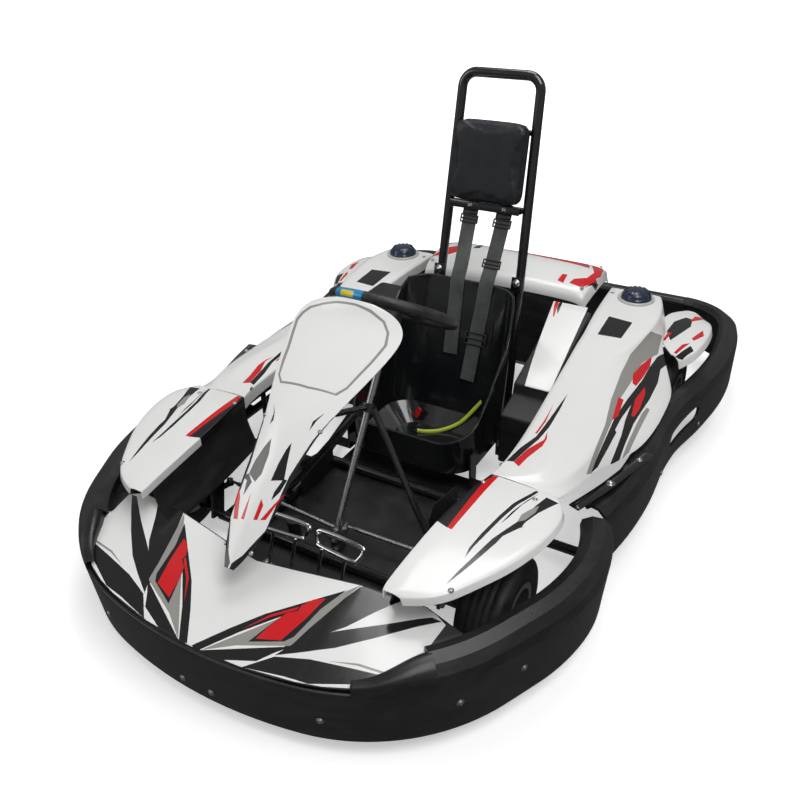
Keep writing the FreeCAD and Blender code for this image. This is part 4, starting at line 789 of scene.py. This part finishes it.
class KART_OT_middle_panels(bpy.types.Operator):
    """Makes the front panel, the cover behind the seat and the top of the nose"""
    bl_idname = "kart.middle_panels"
    bl_label = "Middle panels"

    def execute(self, context):
        wall = context.scene.kart_sizes.panel_wall
        bm = sheet_through(self.shield_rows(), {0: 1, 1: 0.4, 5: 0.4, 6: 1})
        dress("front_panel_skin", "front_panel", bm, wall, SHIELD_LIVERY)
        rows = []
        for y, crown, half in COVER_ROWS:
            line = [(half, crown - 46), (half - 8, crown - 12), (half - 30, crown), (half / 2, crown + 3)]
            rows.append([(-x, y, z) for x, z in line] + [(x, y, z) for x, z in reversed(line)])
        dress("rear_cover_skin", "rear_cover", sheet_through(rows, {1: 0.5, 6: 0.5}), wall, COVER_LIVERY)
        edge = list(NOSE_EDGE) + [(-x, y) for x, y in reversed(NOSE_EDGE[1:-1])]
        bm = laid_on("nose_bumper", edge, 0.0012)
        for index, outline in NOSE_LIVERY:
            for _side, sign in SIDES:
                paint(bm, mirrored(outline, sign), index)
        piece = add_piece("nose_top", bm, "chassis", "white_plastic", *LIVERY)
        thicken(piece, 0.0016, 0.0004)
        self.lip_starts()
        return {"FINISHED"}

    def lip_starts(self):
        """The ends of the side arms' lips, rising out of the nose."""
        under = surface("nose_bumper")
        middle_x, middle_y, radius = NOSE_CORNER
        for side, sign in SIDES:
            rows = []
            for heading, share in LIP_START:
                turn = radians(heading)
                reach = [radius - inset * (0.35 + 0.65 * share) for inset, _height in LIP]
                deck = Vector((middle_x + (radius - 95) * math.sin(turn), middle_y - (radius - 95) * math.cos(turn)))
                spot = under.ray_cast(Vector((deck.x / 1000, deck.y / 1000, ABOVE)), Vector((0, 0, -1)))[0]
                level = spot.z * 1000 - 1.5
                rows.append([((middle_x + out * math.sin(turn)) * sign, middle_y - out * math.cos(turn),
                              min(level, height) + max(height - level, 0) * share)
                             for out, (_inset, height) in zip(reach, LIP)])
            piece = add_piece(f"lip_start_{side}", sheet_through(rows, level=2), "chassis", "bumper_plastic",
                              "bumper black")
            thicken(piece, 0.002, 0.0004)

    def shield_rows(self):
        """The rows of the front panel: points across each station of its spine."""
        middles = [Vector((0, FRONT_AXLE - ahead, height)) for ahead, height, _half, _fall in SPINE]
        rows = []
        for index, (_ahead, _height, half, fall) in enumerate(SPINE):
            before, after = middles[max(index - 1, 0)], middles[min(index + 1, len(SPINE) - 1)]
            out = Vector((1, 0, 0)).cross(after - before).normalized()
            rows.append([middles[index] + Vector((half * t, 0, 0)) - out * fall * t * t
                         for t in (-1, -0.92, -0.5, 0, 0.5, 0.92, 1)])
        return rows


class KART_OT_bumpers(bpy.types.Operator):
    """Rounds the bumpers and the nose moulding"""
    bl_idname = "kart.bumpers"
    bl_label = "Bumpers"

    def execute(self, context):
        for node in ("side_bumper_left", "side_bumper_right", "rear_bumper", "nose_bumper", "front_band"):
            softened(node, context.scene.kart_sizes.bumper_round, "bumper_plastic", "bumper black")
        return {"FINISHED"}


class KART_OT_seat(bpy.types.Operator):
    """Rounds the seat shell, its tank cover and the plates round the footwell"""
    bl_idname = "kart.seat"
    bl_label = "Seat"

    def execute(self, context):
        softened("seat", 0.0029, "seat_black", "seat black")
        for node, width, slot, finish_name in (
                ("footwell_side_left", 0.0015, "dark_plastic", "box plastic"),
                ("footwell_side_right", 0.0015, "dark_plastic", "box plastic"),
                ("fuel_tank", 0.006, "dark_plastic", "box plastic"),
                ("engine_block", 0.006, "dark_metal", "dark casting"),
                ("air_box", 0.006, "dark_plastic", "box plastic")):
            softened(node, width, slot, finish_name)
        rows = []
        for y, z, inner, outer in ((90, 300, 262, 338), (140, 318, 252, 336), (240, 354, 235, 331),
                                   (340, 388, 222, 326), (425, 418, 212, 322)):
            rows.append([(x, y, z) for x in (inner, inner + 8, (inner + outer) / 2, outer - 8, outer)])
        bm = sheet_through(rows, {0: 1, 4: 1}, 2)
        dress("tank_cover_skin", "tank_cover", bm, context.scene.kart_sizes.panel_wall, TANK_LIVERY)
        return {"FINISHED"}


class KART_OT_inner_sheets(bpy.types.Operator):
    """Closes the space under the rear cover and the gap between the floor sheet and the seat with dark sheets, which
    stand partly for dark parts there and partly for painted shade inside the kart
    """
    bl_idname = "kart.inner_sheets"
    bl_label = "Inner sheets"

    def execute(self, context):
        bm = bmesh.new()
        # A dark sheet between the floor tray and the seat: partly floor, partly painted shade where the inside of the
        # kart lies in shadow.
        block(bm, (424, 128, 2.4), (0, -142, 48), None, 0.8)
        add_piece("floor_tray_rear_shade_sheet", bm, "chassis", "floor_sheet", "floor sheet")
        # A dark sheet under the rear cover: partly the parts there, partly painted shade in that space.
        rows = []
        for z, y, half in ((150, 470, 215), (240, 478, 232), (330, 486, 252), (386, 494, 276)):
            rows.append([(half * t, y + 10 * abs(t) ** 3, z) for t in (-1, -0.8, -0.4, 0, 0.4, 0.8, 1)])
        sheet = add_piece("rear_bulkhead_shade_sheet", sheet_through(rows, None, 2), "chassis", "dark_plastic", "box plastic")
        thicken(sheet, 0.003)
        for side, sign in SIDES:
            rows = []
            for y, x, top in ((-775, 336, 300), (-700, 338, 306), (-620, 342, 312), (-537, 349, 315),
                              (-459, 361, 316), (-386, 373, 311)):
                rows.append([(x * sign, y, top), ((x - 4) * sign, y, top - 40), ((x - 18) * sign, y, 226),
                             ((x - 34) * sign, y, 190)])
            wall = add_piece(f"fender_wall_{side}", sheet_through(rows, {0: 1}, 2), "chassis", "dark_plastic",
                             "box plastic")
            thicken(wall, 0.003)
        return {"FINISHED"}


# Pad: middle, width, depth and height in metres; the roll bar leans back by this
PAD_PLACE = (0, 0.367, 0.8365)
PAD_SIZE = (0.226, 0.038, 0.226)
ROLL_BAR_LEAN = radians(11.5)


class KART_OT_headrest(bpy.types.Operator):
    """Inflates the pad on the roll bar and fixes it to its bar"""
    bl_idname = "kart.headrest"
    bl_label = "Headrest"

    def execute(self, context):
        lean = Matrix.Translation(PAD_PLACE) @ Matrix.Rotation(-ROLL_BAR_LEAN, 4, "X")
        bm = bmesh.new()
        bmesh.ops.create_cube(bm, size=1, matrix=Matrix.Diagonal((*PAD_SIZE, 1)))
        upright = [e for e in bm.edges if abs(e.verts[0].co.y - e.verts[1].co.y) > 0.01]
        bmesh.ops.bevel(bm, geom=upright, offset=0.03, segments=6, profile=0.5, affect="EDGES", material=-1)
        rim = [e for e in bm.edges if abs(e.verts[0].co.y - e.verts[1].co.y) < 0.001
               and len(e.link_faces) == 2 and e.calc_face_angle() > 1]
        bmesh.ops.bevel(bm, geom=rim, offset=0.007, segments=3, profile=0.5, affect="EDGES", material=-1)
        bm = self.inflated(context, bm, context.scene.kart_sizes.pad_swell)
        cover = BVHTree.FromBMesh(bm)
        bm.transform(lean)
        pad = add_piece("headrest_pad", bm, "chassis", "pad_black", "pad leather")
        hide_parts("headrest")
        seam = bmesh.new()
        edge = [(x * 111, 17, z * 111) for x, z in
                ((-0.75, -1), (0.75, -1), (0.92, -0.92), (1, -0.75), (1, 0.75), (0.92, 0.92),
                 (0.75, 1), (-0.75, 1), (-0.92, 0.92), (-1, 0.75), (-1, -0.75), (-0.92, -0.92))]
        line = [cover.find_nearest(place)[0] for place in smooth_line(edge, 5, True)]
        swept(seam, line, circle(0.0022, 8), closed=True)
        seam.transform(lean)
        add_piece("headrest_seam", seam, "chassis", "pad_black", "pad leather")
        self.bar_plate()
        return {"FINISHED"}

    def inflated(self, context, bm, swell):
        """The pad's mesh after its cover is blown up, each point held near where it began."""
        mesh = bpy.data.meshes.new("pad")
        bm.to_mesh(mesh)
        bm.free()
        pad = bpy.data.objects.new("pad", mesh)
        context.collection.objects.link(pad)
        remesh = pad.modifiers.new("remesh", "REMESH")
        remesh.mode, remesh.voxel_size = "VOXEL", 0.005
        start = bpy.data.meshes.new_from_object(pad.evaluated_get(context.evaluated_depsgraph_get()))
        pad.modifiers.clear()
        pad.data = start
        cloth = pad.modifiers.new("cloth", "CLOTH")
        cloth.settings.use_pressure = True
        cloth.settings.uniform_pressure_force = 4
        cloth.settings.effector_weights.gravity = 0
        held = pad.vertex_groups.new(name="back")
        held.add([vert.index for vert in start.vertices if vert.co.y > 0.012], 1, "REPLACE")
        cloth.settings.vertex_group_mass = held.name
        for step in range(1, 21):
            context.scene.frame_set(step)
        swollen = pad.evaluated_get(context.evaluated_depsgraph_get()).data
        places = []
        for vert, blown in zip(start.vertices, swollen.vertices):
            move = blown.co - vert.co
            if move.length > swell:
                move *= swell / move.length
            places.append(vert.co + move)
        context.scene.frame_set(1)
        pad.modifiers.clear()
        for vert, place in zip(start.vertices, places):
            vert.co = place
        smooth = pad.modifiers.new("smooth", "SUBSURF")
        smooth.levels = 1
        bm = bmesh.new()
        bm.from_object(pad, context.evaluated_depsgraph_get())
        bpy.data.objects.remove(pad)
        return bm

    def bar_plate(self):
        """The flat bar under the pad with its two light bolts and the bolts of the roll bar's legs."""
        lean = Matrix.Rotation(-ROLL_BAR_LEAN, 3, "X")
        bm = bmesh.new()
        block(bm, (226, 4, 22), (0, 348, 709), lean, 1.2)
        for x in (-109, 109):
            block(bm, (8, 32, 18), (x, 363, 707), lean, 1.2)
        for x in (-45, 65):
            bolt(bm, (x, 345.6, 711), (0, -1, 0.2), 0.95, SOCKET_HEAD, 1)
        for x in (-131, 131):
            bolt(bm, (x, 308.6, 505), (0, -1, 0.2), 1.1, HEX_NUT, 1)
            block(bm, (34, 3, 46), (x, 311, 498), lean, 1.2)
        add_piece("headrest_bar", bm, "chassis", "frame_black", "frame black", "bright steel")


class KART_OT_harness(bpy.types.Operator):
    """Hangs the two shoulder straps from their bar, with loops, slides and the buckle"""
    bl_idname = "kart.harness"
    bl_label = "Harness"

    def execute(self, context):
        sizes = context.scene.kart_sizes
        width = round(sizes.strap_width, 6)
        for side, path in STRAPS.items():
            line = smooth_line(path, 7)
            bm = bmesh.new()
            swept(bm, line, self.weave(width, sizes.strap_wall), side=(1, 0, 0))
            strap = add_piece(f"strap_{side}", bm, "chassis", "webbing", "webbing")
            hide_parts("shoulder_straps")
            bm = bmesh.new()
            top = line[:14]
            loop_width = round(width + 0.004, 6)
            behind = [place + Vector((0, -0.004, 0)) for place in top]
            swept(bm, behind, self.weave(loop_width, 0.0045), side=(1, 0, 0))
            loop = add_piece(f"strap_loop_{side}", bm, "chassis", "webbing", "pad leather")
            bm = bmesh.new()
            self.slide(bm, line[15], line[16] - line[14], 54, 22)
            if side == "left":
                self.slide(bm, line[27], line[28] - line[26], 54, 22)
                self.slide(bm, line[-19], line[-18] - line[-20], 66, 36)
            slides = add_piece(f"strap_slides_{side}", bm, "chassis", "dark_metal", "box plastic")
            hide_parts("harness_buckle")
        return {"FINISHED"}

    def weave(self, width, wall):
        """The section of a strap: a flat band with rounded selvedges."""
        half, rise = width / 2, wall / 2
        return [(-half, 0), (-half + rise, -rise), (half - rise, -rise), (half, 0), (half - rise, rise),
                (-half + rise, rise)]

    def slide(self, bm, place, along, wide, tall):
        """A three-bar slide lying on a strap."""
        along = along.normalized()
        turn = Matrix((Vector((1, 0, 0)), along.cross(Vector((1, 0, 0))), along)).transposed()
        out = turn @ Vector((0, 1, 0))
        middle = place * 1000 - out * 3.4 * (1 if out.y > 0 else -1)
        for share in (-0.5, 0, 0.5):
            block(bm, (wide, 2.6, 4.6), middle + along * tall * share, turn, 0.9)
        for share in (-0.5, 0.5):
            block(bm, (4.6, 2.6, tall + 4), middle + Vector((wide * share, 0, 0)), turn, 0.9)


# end, distance out and along, radius and width of the tyre, wheel nuts, body
AXLES = (("front", 480, -565, 127, 115, 5, "front_wheel_{}"), ("rear", 530, 510, 140, 160, 6, "rear_axle"))


class KART_OT_wheels(bpy.types.Operator):
    """Turns the four tyres and their rims"""
    bl_idname = "kart.wheels"
    bl_label = "Wheels"

    def execute(self, context):
        groove_floor = context.scene.kart_sizes.tread_groove * 1000
        for side, sign in SIDES:
            for end, x, y, radius, width, nuts, body in AXLES:
                centre = (x * sign, y, radius)
                self.wheel(end, side, centre, (sign, 0, 0), width, nuts, body.format(side), groove_floor)
        return {"FINISHED"}

    def wheel(self, end, side, centre, axis, width, nuts, body, groove_floor):
        """A tyre with its grooves, and a rim with two dishes, a hub and its nuts."""
        radius = centre[2]
        half = width / 2 - 0.6
        wall = [(64, 0.74), (68, 0.86), (76, 0.93), (78, 0.96), (80, 0.93), (radius * 0.72, 0.985),
                (radius * 0.735, 1), (radius * 0.75, 0.985), (radius * 0.86, 0.97), (radius * 0.93, 0.91),
                (radius * 0.975, 0.83)]
        tread = [(radius - 0.8, 0.72), (radius - 0.2, 0.62)]
        for groove in (0.42, 0.14):
            crown = radius - 0.2
            floor = crown - groove_floor
            tread += [(crown, groove + 0.03), (floor, groove + 0.02), (floor, groove - 0.02), (crown, groove - 0.03)]
        outer = [(r, share * half) for r, share in wall + tread]
        bm = bmesh.new()
        lathe(bm, outer + [(r, -h) for r, h in reversed(outer)] + outer[:1], centre, axis, 72)
        tyre = add_piece(f"{end}_tyre_skin_{side}", bm, body, "tyre", "tyre rubber")
        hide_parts(f"{end}_tyre_{side}")
        bm = bmesh.new()
        edge = 0.74 * half
        lathe(bm, [(71, edge + 3), (72, edge + 1), (68, edge - 3), (63, edge - 5), (60, edge - 16), (58, 8), (54, 4),
                   (33, 2), (32, 20), (30, 23), (0, 23)], centre, axis, 48, dish=True)
        lathe(bm, [(71, -edge - 3), (72, -edge - 1), (68, 3 - edge), (63, 5 - edge), (60, 16 - edge), (58, -8),
                   (54, -6), (33, -6), (32, -20), (0, -20)], centre, axis, 48, dish=True)
        for turn in (2 * math.pi * k / nuts for k in range(nuts)):
            place = Vector(centre) + Vector(axis) * 4 + Vector((0, math.cos(turn), math.sin(turn))) * 44
            bolt(bm, place, axis, 0.8, HEX_NUT, 1)
        bolt(bm, Vector(centre) + Vector(axis) * 23, axis, 1.5, HEX_NUT, 1)
        add_piece(f"{end}_rim_skin_{side}", bm, body, "rim", "rim alloy", "bright steel")


# Steering wheel: hub and reach in millimetres, the column's rise, the patch's start and end in degrees
WHEEL_HUB = Vector((0, -183, 600))
WHEEL_REACH = 157
COLUMN_LEAN = radians(57)
PATCH = (90, 123)


class KART_OT_steering(bpy.types.Operator):
    """Covers the steering wheel and dresses its hub"""
    bl_idname = "kart.steering"
    bl_label = "Steering wheel"

    def execute(self, context):
        self.axis = Vector((0, math.cos(COLUMN_LEAN), math.sin(COLUMN_LEAN)))
        self.ahead = Vector((0, -math.sin(COLUMN_LEAN), math.cos(COLUMN_LEAN)))
        self.grip(context.scene.kart_sizes.grip_radius)
        self.trim()
        softened("steering_hub", 0.0012, "dark_metal", "dark casting", "steering", 30)
        return {"FINISHED"}

    def around(self, radius, degrees):
        """A direction of the wheel's plane times a radius."""
        return (Vector((1, 0, 0)) * math.cos(radians(degrees)) + self.ahead * math.sin(radians(degrees))) * radius

    def grip(self, radius):
        """The grip with its two-coloured patch."""
        steps = 120
        line = [(WHEEL_HUB + self.around(WHEEL_REACH, 360 * k / steps)) / 1000 for k in range(steps)]
        bm = bmesh.new()
        swept(bm, line, circle(radius, 18), closed=True)
        start, end = PATCH
        for face in bm.faces:
            place = face.calc_center_median() * 1000 - WHEEL_HUB
            heading = math.degrees(math.atan2(place.dot(self.ahead), place.x)) % 360
            if start < heading < end:
                middle = start + 9 < heading < end - 9 and abs(place.dot(self.axis)) < 7
                face.material_index = 2 if middle else 1
        wheel = add_piece("wheel_grip", bm, "steering", "grip_black", "grip rubber", "badge blue", "badge yellow")
        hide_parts("steering_wheel")

    def trim(self):
        """Rings round the grip, and the hub's block with its bolts."""
        bm = bmesh.new()
        for heading in (PATCH[0] - 12, *PATCH, PATCH[1] + 12, 264, 276):
            lathe(bm, [(14.7, -1.4), (15.2, -0.7), (15.2, 0.7), (14.7, 1.4)],
                  WHEEL_HUB + self.around(WHEEL_REACH, heading), self.around(1, heading + 90), 24)
        for heading in range(30, 390, 60):
            bolt(bm, WHEEL_HUB + self.around(19, heading) + self.axis * 6.5, self.axis, 0.55, SOCKET_HEAD, 1)
        turn = Matrix((Vector((1, 0, 0)), self.axis.cross(Vector((1, 0, 0))), self.axis)).transposed()
        block(bm, (46, 30, 16), WHEEL_HUB + self.axis * 14, turn, 4)
        block(bm, (30, 7, 3), WHEEL_HUB + self.axis * 23, turn, 1, 2)
        add_piece("wheel_trim", bm, "steering", "dark_metal", "box plastic", "bright steel", "badge yellow")


class KART_OT_fittings(bpy.types.Operator):
    """Sets the tank caps, pedals, bolts, struts and the lap strap"""
    bl_idname = "kart.fittings"
    bl_label = "Fittings"

    def execute(self, context):
        self.caps()
        self.pedals(context.scene.kart_sizes.pedal_tube)
        self.fasteners()
        self.struts()
        self.harness_tail()
        return {"FINISHED"}

    def pedals(self, tube):
        """The two pedal loops on their arms."""
        bm = bmesh.new()
        for _side, sign in SIDES:
            loop = [(x * sign, y, z) for x, y, z in
                    ((26, -593, 178), (136, -597, 178), (148, -604, 168), (140, -620, 152), (126, -624, 149),
                     (34, -616, 149), (20, -610, 152), (14, -600, 168))]
            swept(bm, smooth_line(loop, 6, True), circle(tube, 12), closed=True)
            for x in (40, 108):
                arm = [(x * sign, -652, 58), (x * sign, -646, 90), (x * sign, -630, 128), (x * sign, -621, 150)]
                swept(bm, smooth_line(arm, 5), circle(0.0048, 10))
            swept(bm, smooth_line([(26 * sign, -653, 58), (78 * sign, -653, 58), (130 * sign, -653, 58)], 2),
                  circle(0.006, 10))
            for x in (34, 122):
                block(bm, (12, 24, 14), (x * sign, -653, 57), None, 1.5)
        pedals = add_piece("pedal_loops", bm, "chassis", "chrome", "chrome")
        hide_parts("pedals")

    def caps(self):
        """The domed tank caps in their pale rings."""
        bm = bmesh.new()
        for _side, sign in SIDES:
            centre = (424 * sign, 588, 402)
            lathe(bm, [(57, -2), (57, 4), (55, 6.5), (51, 7), (47, 5), (46.5, 3)], centre, (0, 0, 1), 48, 1)
            lathe(bm, [(46.5, 3), (46.5, 7), (45, 11), (43, 12), (42, 16), (38.5, 23), (32, 28.6), (24, 32),
                       (14, 34), (0, 34.6)], centre, (0, 0, 1), 48)
            for k in range(12):
                turn = 2 * math.pi * k / 12
                arm = Vector((math.cos(turn), math.sin(turn), 0))
                rib = [Vector(centre) + arm * out + Vector((0, 0, up)) for out, up in
                       ((45.6, 9), (42.4, 16.6), (38.6, 23.8), (32, 29.4), (25, 32.2))]
                swept(bm, smooth_line(rib, 3), circle(0.0017, 6))
        caps = add_piece("caps", bm, "chassis", "cap_blue", "cap blue", "livery silver")
        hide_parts("tank_caps")

    def fasteners(self):
        """Button heads on the bands, the nose and the panels, each square to what it holds."""
        bm = bmesh.new()
        for node, places, size in BOLTS:
            for sign in (1, -1):
                under = surface(node.replace("left", "right") if sign < 0 else node)
                for x, y, z in places:
                    if x or sign > 0:  # one on the middle line needs no twin
                        spot, normal, _face, _far = under.find_nearest(Vector((x * sign, y, z)) / 1000)
                        if z > 300 and normal.z < 0:
                            normal = -normal
                        bolt(bm, spot * 1000 + normal * 0.6, normal, size)
        add_piece("bolts", bm, "chassis", "bright_steel", "bright steel")

    def struts(self):
        """The flat bars from the pods to the side bumpers, with their bolts."""
        bm = bmesh.new()
        for _side, sign in SIDES:
            line = smooth_line([(560 * sign, -318, 262), (598 * sign, -215, 262), (628 * sign, -110, 262),
                                (652 * sign, -12, 258)], 6)
            swept(bm, line, [(-0.014, -0.002), (0.014, -0.002), (0.014, 0.002), (-0.014, 0.002)], side=(1, -0.4, 0))
            bolt(bm, (607 * sign, -190, 264.4), (0, 0, 1), 1.1, HEX_NUT, 1)
            bolt(bm, (641 * sign, -58, 263), (0, 0, 1), 0.9, SOCKET_HEAD, 1)
        add_piece("side_struts", bm, "chassis", "frame_black", "frame black", "bright steel")

    def harness_tail(self):
        """The bright lap strap lying in the seat and the small red pull."""
        bm = bmesh.new()
        band = [(-0.006, -0.001), (0.006, -0.001), (0.006, 0.001), (-0.006, 0.001)]
        line = smooth_line([(-66, 40, 74), (-40, 52, 71), (0, 78, 73), (48, 112, 96), (88, 138, 148),
                            (104, 143, 172)], 8)
        swept(bm, line, band, side=(-0.27, 0.45, 0.85))
        strap = add_piece("lap_strap", bm, "chassis", "webbing", "strap yellow")
        bm = bmesh.new()
        band = [(x * 4 / 3, y) for x, y in band]
        swept(bm, smooth_line([(-96, 84, 88), (-92, 92, 104), (-87, 98, 118)], 4), band, side=(1, 0, 0))
        pull = add_piece("red_pull", bm, "chassis", "webbing", "livery red")


class KART_OT_stage(bpy.types.Operator):
    """Sets the floor, the backdrop, the lamps and the camera"""
    bl_idname = "kart.stage"
    bl_label = "Stage"

    def execute(self, context):
        view = context.scene.kart_view
        scene = context.scene
        scene.view_settings.view_transform = "Standard"
        self.floor(view.floor_shade)
        self.lamps(scene)
        self.camera(scene, view)
        return {"FINISHED"}

    def floor(self, shade):
        """A pale floor that runs out into a white backdrop."""
        bm = bmesh.new()
        bmesh.ops.create_grid(bm, x_segments=1, y_segments=1, size=30)
        mesh = bpy.data.meshes.new("floor")
        bm.to_mesh(mesh)
        bm.free()
        floor = bpy.data.objects.new("floor", mesh)
        bpy.context.collection.objects.link(floor)
        s = Shade("floor_paper", (shade, shade, shade), 0.9)
        seen = s.add("ShaderNodeLightPath")
        far = s.add("ShaderNodeVectorMath", operation="LENGTH")
        s.link(s.place, far.inputs[0])
        glow = s.add("ShaderNodeEmission")
        s.link(s.span(far.outputs["Value"], 0.45, 1.3, 1.2, 4.5), glow.inputs["Strength"])
        lit = s.add("ShaderNodeAddShader")
        s.link(s.shader.outputs["BSDF"], lit.inputs[0])
        s.link(glow.outputs["Emission"], lit.inputs[1])
        dim = s.add("ShaderNodeEmission", Strength=0.1)
        last = s.shader.outputs["BSDF"]
        for ray, shader in (("Is Camera Ray", lit), ("Is Glossy Ray", dim)):
            mixer = s.add("ShaderNodeMixShader")
            s.link(seen.outputs[ray], mixer.inputs["Fac"])
            s.link(last, mixer.inputs[1])
            s.link(shader.outputs[0], mixer.inputs[2])
            last = mixer.outputs["Shader"]
        s.link(last, s.tree.nodes["Material Output"].inputs["Surface"])
        mesh.materials.append(s.material)

    def lamps(self, scene):
        """Three soft lamps and a dim studio."""
        world = bpy.data.worlds.new("studio")
        world.use_nodes = True
        nodes, links = world.node_tree.nodes, world.node_tree.links
        back = nodes["Background"]
        back.inputs["Color"].default_value = (1, 1, 1, 1)
        seen = nodes.new("ShaderNodeLightPath")
        level = nodes.new("ShaderNodeMapRange")
        level.inputs["To Min"].default_value, level.inputs["To Max"].default_value = 0.24, 1
        links.new(seen.outputs["Is Camera Ray"], level.inputs["Value"])
        links.new(level.outputs["Result"], back.inputs["Strength"])
        scene.world = world
        for name, place, size, power in (
                ("lamp_key", (1.8, -1.2, 4.2), 2.4, 92), ("lamp_fill", (-3.4, -2.6, 2.8), 2.2, 34),
                ("lamp_top", (-0.3, 1.2, 4.4), 2.0, 60)):
            light = bpy.data.lights.new(name, "AREA")
            light.size = size
            light.energy = power
            lamp = bpy.data.objects.new(name, light)
            lamp.location = place
            lamp.rotation_mode = "QUATERNION"
            lamp.rotation_quaternion = (Vector((0, 0, 0.2)) - Vector(place)).to_track_quat("-Z", "Y")
            bpy.context.collection.objects.link(lamp)

    def camera(self, scene, view):
        """The camera of the main view."""
        turn, rise, roll = (radians(v) for v in view.camera_turn)
        ahead = Vector((-math.sin(turn) * math.cos(rise), math.cos(turn) * math.cos(rise), -math.sin(rise)))
        right = ahead.cross(Vector((0, 0, 1))).normalized()
        up = right.cross(ahead)
        level = Matrix((right, up, -ahead)).transposed()
        data = bpy.data.cameras.new("camera")
        data.lens, data.sensor_width = view.lens, 36
        camera = bpy.data.objects.new("camera", data)
        turned = level @ Matrix.Rotation(roll, 3, "Z")
        camera.matrix_world = Matrix.Translation(view.camera_place) @ turned.to_4x4()
        bpy.context.collection.objects.link(camera)
        scene.camera = camera


class KART_PT_parts(bpy.types.Panel):
    """Shows the kart's operators and its settings"""
    bl_label = "Kart"
    bl_idname = "KART_PT_parts"
    bl_space_type = "VIEW_3D"
    bl_region_type = "UI"
    bl_category = "Kart"

    def draw(self, context):
        for operator in OPERATORS:
            self.layout.operator(operator.bl_idname)
        for name, group in GROUPS:
            box = self.layout.box()
            for key in group.__annotations__:
                box.prop(getattr(context.scene, name), key)


OPERATORS = (KART_OT_frame_finishes, KART_OT_side_panels, KART_OT_middle_panels, KART_OT_bumpers,
             KART_OT_seat, KART_OT_inner_sheets, KART_OT_headrest, KART_OT_harness, KART_OT_wheels, KART_OT_steering,
             KART_OT_fittings, KART_OT_stage)
GROUPS = (("kart_colours", KartColours), ("kart_sizes", KartSizes), ("kart_view", KartView))


def register():
    """Adds the settings, the operators and the panel."""
    for name, group in GROUPS:
        bpy.utils.register_class(group)
        setattr(bpy.types.Scene, name, bpy.props.PointerProperty(type=group))
    for cls in OPERATORS + (KART_PT_parts,):
        bpy.utils.register_class(cls)


def unregister():
    """Takes them away again."""
    for cls in reversed(OPERATORS + (KART_PT_parts,)):
        bpy.utils.unregister_class(cls)
    for name, group in reversed(GROUPS):
        delattr(bpy.types.Scene, name)
        bpy.utils.unregister_class(group)


def main():
    """Makes the whole kart."""
    register()
    for operator in OPERATORS:
        family, name = operator.bl_idname.split(".")
        getattr(getattr(bpy.ops, family), name)()


if __name__ == "__main__":
    main()
